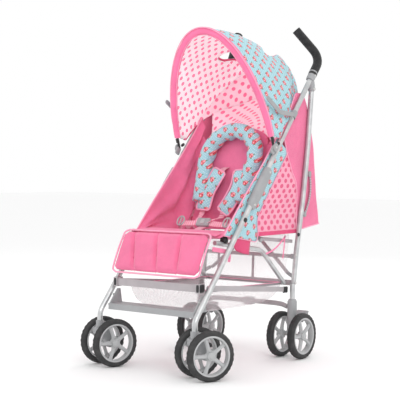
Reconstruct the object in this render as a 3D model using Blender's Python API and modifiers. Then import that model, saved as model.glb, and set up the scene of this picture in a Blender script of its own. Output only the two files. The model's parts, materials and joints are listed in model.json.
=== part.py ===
"""A folding baby stroller: tube frame, eight wheels, fabric seat, hood and basket.

Metres, +Z up. The stroller faces -Y, and +X is its left side. Every number below is measured from
the line between the two front swivel axes, on the floor. One empty, "stroller", moves that line
forward so that the origin ends up under the middle of the whole object.
"""

import math

import bmesh
import bpy
from mathutils import Euler, Matrix, Vector

# Whole object
MIDDLE_X = 0.010  # the turned casters reach further out on the left
MIDDLE_Y = 0.3119  # from the front swivel axes back to the middle of the object
GAP = 0.0004  # between pieces that touch
SIDES = (("left", 1), ("right", -1))

# Frame tubes, as (y, z) in each side's plane
TUBE_X = 0.181
TUBE_R = 0.0085
SWIVEL = (0.0, -0.012)  # (x from the tube plane, y)
TUBE_FOOT = (-0.012, 0.1385)
TUBE_KNEE = (-0.012, 0.166)
GRIP_START = (0.600, 0.9055)
HANDLE_BEND = (0.650, 0.9659)
HANDLE_TIP = (0.116, 0.603, 1.058)  # x, y, z
GRIP_R = 0.0145
TUBE_SLOPE = math.atan2(GRIP_START[1] - TUBE_KNEE[1], GRIP_START[0] - TUBE_KNEE[0])
FOLD_PIVOT = (0.598, 0.862)
LEG_PATH = ((0.5986, 0.870), (0.580, 0.680), (0.553, 0.510), (0.516, 0.335), (0.5025, 0.2358))
PIN_R = 0.003

# Wheels
WHEEL_R = 0.0725
TYRE_W = 0.024
RIM_R = 0.0575
RIM_W = 0.019
TWIN = 0.078  # between the middles of the two wheels of a pair
AXLE_R = 0.004
SPOKES = 5
REAR_AXLE_Y = 0.493
TRAIL = 0.030
CASTER_TURN = {"left": math.radians(-26), "right": math.radians(-19)}

# Links and bars
RAIL_X = 0.157
RAIL_R = 0.007
RAIL_HINGE = (0.484, 0.237)
RAIL_PATH = ((0.110, 0.382), (0.351, 0.350), RAIL_HINGE)
BAR_X = 0.168
BAR_HINGE = (0.470, 0.219)
BAR_FRONT = (0.067, 0.253)
BRACE_R = 0.006

# Hood
HOOD_PIVOT = (0.373, 0.667)
HOOD_HALF = 0.186  # half width of the arch
HOOD_R = 0.380  # from the pivot line to the top of the arch
HOOD_FRONT = math.radians(109.7)
HOOD_SEAM = math.radians(76)
HOOD_REAR = math.radians(33)
STAY_KNEE = (0.387, 0.777)
STAY_END = (0.467, 0.773)
STAY_FRONT = (0.320, 0.816)

# Seat
BACK_HINGE = (0.338, 0.392)
BACK_ANGLE = math.radians(70)
BACK_LENGTH = 0.385
BACK_HALF = 0.130
CALF_TOP = (0.088, 0.409)
CALF_BOTTOM = (0.024, 0.284)
CALF_HALF = 0.163

MATERIALS = {  # colour, roughness, metallic
    "frame_silver": ((0.56, 0.58, 0.57), 0.35, 0.75),
    "grey_plastic": ((0.33, 0.31, 0.32), 0.50, 0.0),
    "black_foam": ((0.012, 0.012, 0.013), 0.85, 0.0),
    "tyre_rubber": ((0.045, 0.045, 0.05), 0.75, 0.0),
    "rim_plastic": ((0.42, 0.42, 0.43), 0.40, 0.0),
    "steel": ((0.55, 0.55, 0.56), 0.30, 1.0),
    "pink_fabric": ((0.91, 0.20, 0.37), 0.80, 0.0),
    "floral_fabric": ((0.42, 0.68, 0.74), 0.80, 0.0),
    "mesh_fabric": ((0.90, 0.89, 0.90), 0.80, 0.0),
}


# --- Scene and materials -------------------------------------------------------------------------


def clear_scene():
    for obj in list(bpy.data.objects):
        bpy.data.objects.remove(obj, do_unlink=True)


def new_collection(name):
    collection = bpy.data.collections.new(name)
    bpy.context.scene.collection.children.link(collection)
    return collection


def make_materials():
    for name, (colour, roughness, metallic) in MATERIALS.items():
        material = bpy.data.materials.new(name)
        material.use_nodes = True
        shader = material.node_tree.nodes["Principled BSDF"]
        shader.inputs["Base Color"].default_value = (*colour, 1)
        shader.inputs["Roughness"].default_value = roughness
        shader.inputs["Metallic"].default_value = metallic
        material.diffuse_color = (*colour, 1)


clear_scene()
make_materials()
PARTS = new_collection("baby_stroller")
CUTTERS = new_collection("cutters")
STROLLER = bpy.data.objects.new("stroller", None)
STROLLER.location = (-MIDDLE_X, -MIDDLE_Y, 0)
PARTS.objects.link(STROLLER)


# --- Helpers -------------------------------------------------------------------------------------


def add(name, data, material, pivot=(0, 0, 0), turn=0.0):
    """Puts data made in stroller coordinates into an object whose origin is its joint's pivot."""
    obj = bpy.data.objects.new(name, data)
    data.transform(Matrix.Translation(-Vector(pivot)))
    data.materials.append(bpy.data.materials[material])
    obj.location = pivot
    obj.rotation_euler = (0, 0, turn)
    obj.parent = STROLLER
    PARTS.objects.link(obj)
    return obj


def smooth(obj, angle=40):
    obj.data.shade_smooth()
    obj.data.set_sharp_from_angle(angle=math.radians(angle))
    return obj


def rounded(points, radius, steps=4):
    """The path through the points, with each inner corner turned into an arc."""
    points = [Vector(p) for p in points]
    path = [points[0]]
    for before, corner, after in zip(points, points[1:], points[2:]):
        back = (before - corner).normalized()
        ahead = (after - corner).normalized()
        half = back.angle(ahead) / 2
        reach = min(radius / math.tan(half), 0.45 * (before - corner).length, 0.45 * (after - corner).length)
        true_radius = reach * math.tan(half)
        middle = corner + (back + ahead).normalized() * (true_radius / math.sin(half))
        start = (corner + back * reach - middle).normalized()
        end = (corner + ahead * reach - middle).normalized()
        for i in range(steps + 1):
            path.append(middle + start.slerp(end, i / steps) * true_radius)
    path.append(points[-1])
    return path


def curve_data(name, points, radius, sides=8, caps=True):
    data = bpy.data.curves.new(name, "CURVE")
    data.dimensions = "3D"
    data.bevel_depth = radius
    data.bevel_resolution = sides // 2 - 2
    data.use_fill_caps = caps
    spline = data.splines.new("POLY")
    spline.points.add(len(points) - 1)
    for point, place in zip(spline.points, points):
        point.co = (*place, 1)
    return data


def tube(name, points, radius, material, pivot=(0, 0, 0), sides=8):
    return add(name, curve_data(name, points, radius, sides), material, pivot)


def mesh_of_curve(data, weld=True):
    """A mesh from curve data, with the caps welded on."""
    carrier = bpy.data.objects.new("carrier", data)
    bpy.context.scene.collection.objects.link(carrier)
    graph = bpy.context.evaluated_depsgraph_get()
    mesh = bpy.data.meshes.new_from_object(carrier.evaluated_get(graph))
    bpy.data.objects.remove(carrier)
    if weld:
        bm = bmesh.new()
        bm.from_mesh(mesh)
        bmesh.ops.remove_doubles(bm, verts=bm.verts, dist=0.00001)
        bm.to_mesh(mesh)
        bm.free()
    return mesh


def side_plate(outline, x_from, x_to):
    """A mesh with a (y, z) outline, spread between two x."""
    data = bpy.data.curves.new("outline", "CURVE")
    data.dimensions = "2D"
    data.fill_mode = "BOTH"
    data.extrude = abs(x_to - x_from) / 2
    spline = data.splines.new("POLY")
    spline.points.add(len(outline) - 1)
    for point, (y, z) in zip(spline.points, outline):
        point.co = (y, z, 0, 1)
    spline.use_cyclic_u = True
    mesh = mesh_of_curve(data)
    stand_up = Euler((math.pi / 2, 0, math.pi / 2)).to_matrix().to_4x4()
    mesh.transform(Matrix.Translation(((x_from + x_to) / 2, 0, 0)) @ stand_up)
    return mesh


def rod_data(start, end, radius, segments=16):
    start = Vector(start)
    end = Vector(end)
    along = end - start
    place = Matrix.Translation((start + end) / 2) @ along.to_track_quat("Z", "Y").to_matrix().to_4x4()
    bm = bmesh.new()
    bmesh.ops.create_cone(
        bm,
        cap_ends=True,
        segments=segments,
        radius1=radius,
        radius2=radius,
        depth=along.length,
        matrix=place,
    )
    mesh = bpy.data.meshes.new("rod")
    bm.to_mesh(mesh)
    bm.free()
    return mesh


def box_data(low, high):
    low = Vector(low)
    high = Vector(high)
    bm = bmesh.new()
    bmesh.ops.create_cube(bm, size=1)
    bmesh.ops.scale(bm, vec=high - low, verts=bm.verts)
    bmesh.ops.translate(bm, vec=(low + high) / 2, verts=bm.verts)
    mesh = bpy.data.meshes.new("box")
    bm.to_mesh(mesh)
    bm.free()
    return mesh


def combine(obj, mesh, operation, label):
    """Adds a Boolean modifier whose other shape is a mesh in the same coordinates as obj's pivot."""
    other = bpy.data.objects.new(f"{obj.name}_{label}", mesh)
    mesh.transform(Matrix.Translation(-obj.location))
    other.parent = STROLLER
    other.location = obj.location
    other.rotation_euler = obj.rotation_euler
    other.hide_render = True
    other.display_type = "WIRE"
    CUTTERS.objects.link(other)
    modifier = obj.modifiers.new(label, "BOOLEAN")
    modifier.operation = operation
    modifier.object = other


def cut(obj, mesh, label="hole"):
    combine(obj, mesh, "DIFFERENCE", label)


def join(obj, mesh, label="boss"):
    combine(obj, mesh, "UNION", label)


def bevel(obj, width, segments=1):
    modifier = obj.modifiers.new("edges", "BEVEL")
    modifier.width = width
    modifier.segments = segments
    modifier.limit_method = "ANGLE"
    modifier.angle_limit = math.radians(40)


def sheet(name, columns, rows, place, thickness, material, pivot=(0, 0, 0), keep=None):
    """A panel: place(u, v) gives a point for u and v from 0 to 1, and Solidify gives its thickness."""
    bm = bmesh.new()
    bmesh.ops.create_grid(bm, x_segments=columns, y_segments=rows, size=0.5)
    if keep:
        dropped = [f for f in bm.faces if not keep(f.calc_center_median().x + 0.5, f.calc_center_median().y + 0.5)]
        bmesh.ops.delete(bm, geom=dropped, context="FACES")
    for vert in bm.verts:
        vert.co = Vector(place(vert.co.x + 0.5, vert.co.y + 0.5))
    mesh = bpy.data.meshes.new(name)
    bm.to_mesh(mesh)
    bm.free()
    obj = add(name, mesh, material, pivot)
    modifier = obj.modifiers.new("thickness", "SOLIDIFY")
    modifier.thickness = thickness
    modifier.offset = -1
    modifier.use_even_offset = True
    return obj


def slope_point(z):
    """The y of the front tube's axis at a height."""
    return TUBE_KNEE[0] + (z - TUBE_KNEE[1]) / math.tan(TUBE_SLOPE)


def lerp(a, b, t):
    return a + (b - a) * t


# --- Tubes of the frame --------------------------------------------------------------------------


def handle_path(sign, start):
    """The tube's line from start, a (y, z), round the handle bend to the tip."""
    x = sign * TUBE_X
    tip = (sign * HANDLE_TIP[0], HANDLE_TIP[1], HANDLE_TIP[2])
    return [(x, *start), (x, *HANDLE_BEND), tip]


def front_tube(side, sign):
    x = sign * TUBE_X
    handle = rounded(handle_path(sign, GRIP_START), 0.050, 6)
    lower = rounded([(x, *TUBE_FOOT), (x, *TUBE_KNEE), (x, *GRIP_START)], 0.040, 4)
    points = lower[:-1] + handle
    points[-1] = lerp(points[-1], points[-2], 0.02)
    obj = tube(f"front_tube_{side}", points, TUBE_R, "frame_silver", sides=12)
    return obj


def handle_grip(side, sign):
    points = rounded(handle_path(sign, GRIP_START), 0.050, 6)
    mesh = mesh_of_curve(curve_data("grip", points, GRIP_R, 12, caps=False), weld=False)
    obj = add(f"handle_grip_{side}", mesh, "black_foam")
    modifier = obj.modifiers.new("thickness", "SOLIDIFY")
    modifier.thickness = 0.0050
    modifier.offset = -1


def handle_bracket(side, sign):
    x = sign * TUBE_X
    outline = (
        (0.5340, 0.8446),
        (0.5880, 0.9096),
        (0.6100, 0.8960),
        (0.6160, 0.8650),
        (0.6125, 0.8260),
        (0.5560, 0.8260),
    )
    obj = add(f"handle_bracket_{side}", side_plate(outline, x - 0.0135, x + 0.0135), "grey_plastic")
    low = (x, slope_point(0.78), 0.78)
    high = (x, slope_point(0.96), 0.96)
    cut(obj, rod_data(low, high, TUBE_R + 0.0006, 24), "tube_bore")
    pocket = ((0.560, 0.80), (0.5885, 0.874), (0.640, 0.874), (0.640, 0.80))
    cut(obj, side_plate(pocket, x - 0.0093, x + 0.0093), "leg_pocket")
    pin = rod_data((x - 0.012, *FOLD_PIVOT), (x + 0.012, *FOLD_PIVOT), PIN_R)
    join(obj, pin, "pin")


def rear_leg(side, sign):
    x = sign * TUBE_X
    points = rounded([(x, *p) for p in LEG_PATH], 0.30, 2)
    mesh = mesh_of_curve(curve_data("leg", points, TUBE_R, 12))
    obj = add(f"rear_leg_{side}", mesh, "frame_silver", (x, *FOLD_PIVOT))
    hole = rod_data((x - 0.02, *FOLD_PIVOT), (x + 0.02, *FOLD_PIVOT), PIN_R + GAP)
    cut(obj, hole, "pin_hole")


def rear_crossbar():
    half = [(0.157, 0.160), (0.138, 0.166), (0.112, 0.168)]
    y = 0.5045
    left = [(x, y, z) for x, z in half]
    right = [(-x, y, z) for x, z in reversed(half)]
    points = rounded(left + right, 0.03, 3)
    mesh = mesh_of_curve(curve_data("crossbar", points, 0.008, 8))
    obj = add("rear_crossbar", mesh, "frame_silver", (0, *FOLD_PIVOT))
    join(obj, box_data((-0.006, y - 0.012, 0.156), (0.022, y + 0.012, 0.180)), "lock_housing")


def cross_brace(side, sign):
    """One tube of the X between the rear legs, from this side's foot to the other side's middle."""
    back = 0.001 if sign > 0 else 0.0138
    foot = (sign * 0.157, 0.505 + back, 0.268)
    top = (-sign * 0.157, 0.5545 + back, 0.535)
    tube(f"cross_brace_{side}", [foot, top], BRACE_R, "frame_silver", (0, *FOLD_PIVOT))


# --- Wheels --------------------------------------------------------------------------------------


def circle(radius, count, turn=0.0):
    return [
        (radius * math.cos(turn + 2 * math.pi * i / count), radius * math.sin(turn + 2 * math.pi * i / count))
        for i in range(count)
    ]


def rim_mesh():
    """A disc with a bore and five windows, its axis along X."""
    outlines = [circle(RIM_R, 24), circle(AXLE_R + GAP, 10)]
    inner = 0.020
    outer = 0.0475
    for i in range(SPOKES):
        middle = 2 * math.pi * (i + 0.5) / SPOKES
        wide = math.pi / SPOKES - 0.17
        narrow = math.pi / SPOKES - 0.37
        window = [(outer, middle + wide * t) for t in (-1, -0.5, 0, 0.5, 1)]
        window += [(inner, middle + narrow * t) for t in (1, 0, -1)]
        outlines.append([(r * math.cos(a), r * math.sin(a)) for r, a in window])
    data = bpy.data.curves.new("rim", "CURVE")
    data.dimensions = "2D"
    data.fill_mode = "BOTH"
    data.extrude = RIM_W / 2
    for outline in outlines:
        spline = data.splines.new("POLY")
        spline.points.add(len(outline) - 1)
        for point, (a, b) in zip(spline.points, outline):
            point.co = (a, b, 0, 1)
        spline.use_cyclic_u = True
    mesh = mesh_of_curve(data)
    mesh.transform(Euler((math.pi / 2, 0, math.pi / 2)).to_matrix().to_4x4())
    return mesh


def tyre_mesh():
    """The tyre's profile, to be turned about X."""
    half = TYRE_W / 2
    inside = RIM_R + GAP
    profile = [
        (-half * 0.85, inside),
        (half * 0.85, inside),
        (half, inside + 0.004),
        (half * 0.92, WHEEL_R - 0.004),
        (half * 0.55, WHEEL_R),
        (-half * 0.55, WHEEL_R),
        (-half * 0.92, WHEEL_R - 0.004),
        (-half, inside + 0.004),
    ]
    mesh = bpy.data.meshes.new("tyre")
    verts = [(x, 0, r) for x, r in profile]
    count = len(profile)
    mesh.from_pydata(verts, [(i, (i + 1) % count) for i in range(count)], [])
    return mesh


def wheel(name, centre, turn):
    """A rim and a tyre on one axle line; both have their origin at the wheel's middle."""
    rim = add(f"rim_{name}", rim_mesh(), "rim_plastic", turn=turn)
    rim.location = centre
    tyre = add(f"tyre_{name}", tyre_mesh(), "tyre_rubber", turn=turn)
    tyre.location = centre
    screw = tyre.modifiers.new("turned", "SCREW")
    screw.axis = "X"
    screw.steps = 24
    screw.render_steps = 24
    screw.use_merge_vertices = True
    screw.merge_threshold = 0.00001


def wheel_pair(name, middle, turn):
    """Two wheels and their axle about a middle point; turn is the pair's swivel angle."""
    along = Vector((math.cos(turn), math.sin(turn), 0))
    for place, step in (("outer", 1), ("inner", -1)):
        outward = step if middle[0] > 0 else -step
        wheel(f"{name}_{place}", Vector(middle) + along * outward * TWIN / 2, turn)
    reach = along * (TWIN + TYRE_W) / 2
    axle = rod_data(Vector(middle) - reach, Vector(middle) + reach, AXLE_R, 12)
    add(f"axle_{name}", axle, "steel", middle)


def caster(side, sign):
    turn = CASTER_TURN[side]
    pivot = Vector((sign * TUBE_X, SWIVEL[1], 0))
    outline = (
        (-0.016, 0.1180),
        (0.017, 0.1180),
        (0.034, 0.1060),
        (0.045, 0.0850),
        (0.043, 0.0620),
        (0.034, 0.0550),
        (0.022, 0.0570),
        (0.012, 0.0800),
        (-0.016, 0.1000),
    )
    mesh = side_plate([(y + pivot.y, z) for y, z in outline], pivot.x - 0.016, pivot.x + 0.016)
    fork = add(f"caster_fork_{side}", mesh, "grey_plastic", pivot, turn)
    stem_top = pivot + Vector((0, 0, TUBE_FOOT[1] - GAP))
    join(fork, rod_data(pivot + Vector((0, 0, 0.110)), stem_top, 0.0125, 20), "stem")
    axle_line = pivot + Vector((0, TRAIL, WHEEL_R))
    reach = Vector((0.03, 0, 0))
    cut(fork, rod_data(axle_line - reach, axle_line + reach, AXLE_R + GAP, 12), "axle_bore")
    back = Matrix.Rotation(turn, 3, "Z") @ Vector((0, TRAIL, 0))
    wheel_pair(f"front_{side}", pivot + back + Vector((0, 0, WHEEL_R)), turn)


def rear_corner(side, sign):
    x = sign * TUBE_X
    outline = (
        (0.4860, 0.2338),
        (0.5190, 0.2338),
        (0.5200, 0.1900),
        (0.5130, 0.1400),
        (0.5120, 0.0660),
        (0.5020, 0.0560),
        (0.4840, 0.0560),
        (0.4750, 0.0660),
        (0.4750, 0.1200),
        (0.4850, 0.1700),
    )
    mesh = side_plate(outline, x - 0.0155, x + 0.0155)
    obj = add(f"rear_housing_{side}", mesh, "grey_plastic", (x, *FOLD_PIVOT))
    line = Vector((x, REAR_AXLE_Y, WHEEL_R))
    reach = Vector((0.03, 0, 0))
    cut(obj, rod_data(line - reach, line + reach, AXLE_R + GAP, 12), "axle_bore")
    wheel_pair(f"rear_{side}", line, 0.0)


def brake_lever(side, sign):
    x = sign * TUBE_X
    outline = (
        (0.5200, 0.1130),
        (0.5290, 0.1100),
        (0.5620, 0.1350),
        (0.5660, 0.1440),
        (0.5600, 0.1450),
        (0.5270, 0.1230),
        (0.5210, 0.1220),
    )
    mesh = side_plate(outline, x - 0.020, x + 0.020)
    obj = add(f"brake_lever_{side}", mesh, "grey_plastic", (x, 0.5225, 0.1175))
    bevel(obj, 0.0008)


# --- Links, bars and plates ----------------------------------------------------------------------


def seat_rail(side, sign):
    x = sign * RAIL_X
    points = rounded([(x, *p) for p in RAIL_PATH], 0.060, 4)
    tube(f"seat_rail_{side}", points, RAIL_R, "frame_silver", (x, *RAIL_HINGE))


def link_outline(start, end, half):
    """A bar with round ends between two (y, z) points."""
    angle = math.atan2(end[1] - start[1], end[0] - start[0])
    outline = []
    for centre, facing in ((end, angle), (start, angle + math.pi)):
        for i in range(5):
            a = facing - math.pi / 2 + math.pi * i / 4
            outline.append((centre[0] + half * math.cos(a), centre[1] + half * math.sin(a)))
    return outline


def side_bar(side, sign):
    x = sign * BAR_X
    mesh = side_plate(link_outline(BAR_FRONT, BAR_HINGE, 0.008), x - 0.002, x + 0.002)
    add(f"side_bar_{side}", mesh, "frame_silver", (x, *BAR_HINGE))


def front_crossbar():
    mesh = box_data((-0.164, 0.0330, 0.2430), (0.164, 0.0380, 0.2650))
    obj = add("front_crossbar", mesh, "frame_silver")
    for sign in (1, -1):
        ends = sorted((sign * 0.150, sign * 0.1642))
        block = box_data((ends[0], 0.0290, 0.2400), (ends[1], 0.0560, 0.2680))
        join(obj, block, "end_left" if sign > 0 else "end_right")


def footrest():
    """A plate with a triangular upright at each end; its top face is flat."""
    mesh = box_data((-0.1635, 0.0050, 0.1850), (0.1635, 0.0660, 0.1900))
    obj = add("footrest", mesh, "grey_plastic")
    wedge = ((0.0060, 0.1860), (0.0650, 0.1860), (0.0560, 0.2320), (0.0440, 0.2320))
    join(obj, side_plate(wedge, 0.1595, 0.1635), "end_left")
    join(obj, side_plate(wedge, -0.1635, -0.1595), "end_right")
    join(obj, box_data((-0.1625, 0.0050, 0.1720), (0.1625, 0.0090, 0.1860)), "lip")


def tube_collar(side, sign):
    """The clip on the front tube that the hood stay is pinned to."""
    x = sign * TUBE_X
    along = Vector((0, math.cos(TUBE_SLOPE), math.sin(TUBE_SLOPE)))
    centre = Vector((x, slope_point(STAY_END[1]), STAY_END[1]))
    obj = add(f"stay_collar_{side}", rod_data(centre - along * 0.012, centre + along * 0.012, 0.0112, 16), "grey_plastic")
    cut(obj, rod_data(centre - along * 0.05, centre + along * 0.05, TUBE_R + 0.0006, 24), "tube_bore")


def stay(side, sign):
    """The two links of the hood's folding stay, side by side in x."""
    rear = side_plate(link_outline(STAY_KNEE, STAY_END, 0.007), sign * 0.1928, sign * 0.1956)
    add(f"stay_rear_link_{side}", rear, "grey_plastic", (sign * 0.1942, *STAY_END))
    front = side_plate(link_outline(STAY_FRONT, STAY_KNEE, 0.007), sign * 0.1962, sign * 0.1990)
    add(f"stay_front_link_{side}", front, "grey_plastic", (sign * 0.1976, *STAY_KNEE))


# --- Hood ----------------------------------------------------------------------------------------


def hood_point(t, angle, proud):
    """A point of the hood: t goes from 0 at the left pivot over the top to pi at the right one."""
    radius = (HOOD_R + proud) * math.sin(t)
    x = (HOOD_HALF + proud) * math.cos(t)
    return (x, HOOD_PIVOT[0] + radius * math.cos(angle), HOOD_PIVOT[1] + radius * math.sin(angle))


def hood_bow():
    points = [hood_point(math.pi * i / 28, HOOD_FRONT, 0) for i in range(29)]
    tube("hood_bow", points, 0.0040, "grey_plastic", (0, *HOOD_PIVOT))


def hood_housing(side, sign):
    outline = (
        (0.3560, 0.6560),
        (0.3700, 0.6480),
        (0.4020, 0.6500),
        (0.4360, 0.6900),
        (0.4300, 0.7040),
        (0.4160, 0.7060),
        (0.3900, 0.6860),
        (0.3640, 0.6820),
        (0.3550, 0.6700),
    )
    mesh = side_plate(outline, sign * 0.1908, sign * 0.1960)
    add(f"hood_pivot_{side}", mesh, "grey_plastic", (sign * 0.1934, *HOOD_PIVOT))


def canopy(name, angle_from, angle_to, proud, material, columns):
    """A part of the hood's dome; it stops short of the pivots, inside the tubes."""
    edge = math.acos(0.162 / (HOOD_HALF + proud))

    def place(u, v):
        return hood_point(lerp(edge, math.pi - edge, u), lerp(angle_from, angle_to, v), proud)

    sheet(name, 22, columns, place, 0.003, material, (0, *HOOD_PIVOT))


# --- Soft parts ----------------------------------------------------------------------------------


def seat_liner():
    """The seat, with a wing on each side that rises along the front tube."""
    half = 0.144

    def place(u, v):
        y = lerp(0.095, BACK_HINGE[0] - 0.002, v)
        seat = lerp(0.412, 0.392, v)
        if 0.2 < u < 0.8:
            return (lerp(-half, half, (u - 0.2) / 0.6), y, seat)
        low = min(u, 1 - u) / 0.2
        top_y = lerp(0.135, 0.455, v)
        top_z = lerp(0.452, 0.730, v)
        return (half if u > 0.5 else -half, lerp(top_y, y, low), lerp(top_z, seat, low))

    sheet("seat_liner", 20, 8, place, 0.012, "pink_fabric")


def backrest():
    up = Vector((0, math.cos(BACK_ANGLE), math.sin(BACK_ANGLE)))
    foot = Vector((0, *BACK_HINGE)) + up * 0.022

    def place(u, v):
        x = lerp(-BACK_HALF, BACK_HALF, u)
        return foot + up * v * (BACK_LENGTH - 0.022) + Vector((x, 0, 0))

    obj = sheet("backrest", 6, 8, place, 0.022, "pink_fabric", (0, *BACK_HINGE))
    return obj


def back_point(x, height, proud):
    """A point in front of the backrest: height is measured up the back from its hinge."""
    y = BACK_HINGE[0] + height * math.cos(BACK_ANGLE) - proud * math.sin(BACK_ANGLE)
    z = BACK_HINGE[1] + height * math.sin(BACK_ANGLE) + proud * math.cos(BACK_ANGLE)
    return (x, y, z)


def head_hugger():
    corners = [(0.0955, 0.125), (0.0955, 0.345), (-0.0955, 0.345), (-0.0955, 0.125)]
    points = rounded([back_point(x, h, 0.0285) for x, h in corners], 0.085, 7)
    tube("head_hugger", points, 0.0265, "floral_fabric", (0, *BACK_HINGE), sides=10)


def calf_rest():
    def place(u, v):
        y = lerp(CALF_TOP[0], CALF_BOTTOM[0], v)
        z = lerp(CALF_TOP[1], CALF_BOTTOM[1], v)
        return (lerp(-CALF_HALF, CALF_HALF, u), y, z)

    sheet("calf_rest", 8, 4, place, 0.010, "pink_fabric")


def rear_cover():
    """The fabric behind the seat: two side panels and the wall between them."""
    half = 0.1685
    low, high = 0.394, 0.740

    def place(u, v):
        z = lerp(low, high, v)
        back = lerp(0.694, 0.554, v)
        front = slope_point(z) + 0.012
        if 0.3 < u < 0.7:
            return (lerp(half, -half, (u - 0.3) / 0.4), back, z)
        edge = min(u, 1 - u) / 0.3
        return (half if u < 0.5 else -half, lerp(front, back, edge), z)

    sheet("rear_cover", 20, 8, place, 0.0030, "pink_fabric")


def basket():
    """An open-topped bag of mesh between the lower side bars."""
    half = 0.146
    near, far = 0.085, 0.482

    def place(u, v):
        a = 2 * u - 1
        b = 2 * v - 1
        x = half * math.copysign(min(1, abs(a) * 1.22), a)
        y = lerp(near, far, 0.5 + 0.5 * math.copysign(min(1, abs(b) * 1.16), b))
        rim = lerp(0.243, 0.236, v)
        depth = 0.078
        side = min(1, (1 - abs(a)) / 0.18)
        end = min(1, (1 - abs(b)) / 0.14)
        return (x * (1 - 0.03 * side), y, rim - depth * min(side, end) - 0.006 * side * end)

    sheet("basket", 12, 14, place, 0.0025, "mesh_fabric")


# --- The object ----------------------------------------------------------------------------------


def build():
    for side, sign in SIDES:
        front_tube(side, sign)
        handle_grip(side, sign)
        handle_bracket(side, sign)
        rear_leg(side, sign)
        cross_brace(side, sign)
        caster(side, sign)
        rear_corner(side, sign)
        brake_lever(side, sign)
        seat_rail(side, sign)
        side_bar(side, sign)
        tube_collar(side, sign)
        stay(side, sign)
        hood_housing(side, sign)
    rear_crossbar()
    front_crossbar()
    footrest()
    hood_bow()
    canopy("canopy_front", HOOD_FRONT, HOOD_SEAM, 0.0085, "pink_fabric", 4)
    canopy("canopy_rear", HOOD_SEAM, HOOD_REAR, -0.0095, "floral_fabric", 5)
    seat_liner()
    backrest()
    head_hugger()
    calf_rest()
    rear_cover()
    basket()


build()
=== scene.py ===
"""The looks of a baby stroller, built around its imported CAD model.

Places are in metres from ORIGIN: x to the stroller's left from its middle, y backwards from just
behind the front swivels, z up from the floor. LEFT is +1 and RIGHT is -1."""

import json
import math

import bmesh
import bpy
import numpy as np
from mathutils import Matrix, Vector, noise


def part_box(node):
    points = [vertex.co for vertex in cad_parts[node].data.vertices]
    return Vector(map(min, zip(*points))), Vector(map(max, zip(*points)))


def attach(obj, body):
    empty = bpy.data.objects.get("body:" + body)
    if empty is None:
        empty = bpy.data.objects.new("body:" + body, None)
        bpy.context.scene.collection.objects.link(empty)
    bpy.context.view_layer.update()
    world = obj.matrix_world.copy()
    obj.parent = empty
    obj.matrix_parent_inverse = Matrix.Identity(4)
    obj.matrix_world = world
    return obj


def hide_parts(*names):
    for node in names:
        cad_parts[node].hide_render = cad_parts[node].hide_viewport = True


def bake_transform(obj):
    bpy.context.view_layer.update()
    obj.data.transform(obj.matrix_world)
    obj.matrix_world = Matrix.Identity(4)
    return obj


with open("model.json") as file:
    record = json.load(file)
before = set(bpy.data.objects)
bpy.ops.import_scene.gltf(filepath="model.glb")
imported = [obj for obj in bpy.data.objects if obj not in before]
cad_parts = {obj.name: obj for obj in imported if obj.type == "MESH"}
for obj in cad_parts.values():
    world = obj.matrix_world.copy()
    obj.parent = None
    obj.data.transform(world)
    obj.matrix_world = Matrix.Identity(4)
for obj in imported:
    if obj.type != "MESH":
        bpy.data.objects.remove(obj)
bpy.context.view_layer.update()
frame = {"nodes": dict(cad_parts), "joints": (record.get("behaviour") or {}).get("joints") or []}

# --- Places read from the frame ---

JOINTS = {joint["name"]: joint for joint in frame["joints"]}
SWIVEL_Y = -0.012
ORIGIN = Vector((
    JOINTS["fold"]["pos_m"][0],
    JOINTS["swivel_left"]["pos_m"][1] - SWIVEL_Y,
    0,
))


def joint_at(name):
    return Vector(JOINTS[name]["pos_m"]) - ORIGIN


def box_of(node):
    low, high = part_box(node)
    return low - ORIGIN, high - ORIGIN


def middle_of(node):
    low, high = box_of(node)
    return (low + high) / 2


HOOD_PIVOT = joint_at("hood")
BACK_HINGE = joint_at("recline")
BOW_LOW, BOW_HIGH = box_of("hood_bow")
BOW_R = 0.004
HOOD_HALF = BOW_HIGH.x - BOW_R
HOOD_R = (Vector((0, BOW_LOW.y, BOW_HIGH.z)) - Vector((0, HOOD_PIVOT.y, HOOD_PIVOT.z))).length - BOW_R
COLLAR = middle_of("stay_collar_left")
TUBE_X = (box_of("front_tube_left")[1].x + box_of("rear_leg_left")[0].x) / 2
TUBE_R = (box_of("rear_leg_left")[1].x - box_of("rear_leg_left")[0].x) / 2
KNEE_Z = 0.166
TUBE_RUN = (COLLAR.y - SWIVEL_Y) / (COLLAR.z - KNEE_Z)  # how far back the front tube goes per metre up
BACK_ANGLE = math.radians(70)
BACK_UP = Vector((0, math.cos(BACK_ANGLE), math.sin(BACK_ANGLE)))
BACK_OUT = Vector((0, -math.sin(BACK_ANGLE), math.cos(BACK_ANGLE)))
LEFT, RIGHT = 1, -1
SIDES = (("left", LEFT), ("right", RIGHT))


def tube_y(z):
    """How far back the front tubes' axes are at a height."""
    return SWIVEL_Y + (z - KNEE_Z) * TUBE_RUN


def on_back(x, height, proud):
    """A point in front of the backrest, height up it from its hinge."""
    return Vector((x, BACK_HINGE.y, BACK_HINGE.z)) + BACK_UP * height + BACK_OUT * proud


def lerp(a, b, t):
    return a + (b - a) * t


def smooth(t):
    t = min(max(t, 0), 1)
    return t * t * (3 - 2 * t)


def along(points, t):
    """The value at t of a smooth line through (t, value) pairs in rising order of t."""
    points = sorted(points)
    if t <= points[0][0]:
        return points[0][1]
    for (t0, a), (t1, b) in zip(points, points[1:]):
        if t <= t1:
            return lerp(a, b, smooth((t - t0) / (t1 - t0)) * 0.35 + (t - t0) / (t1 - t0) * 0.65)
    return points[-1][1]


# --- Materials ---


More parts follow.
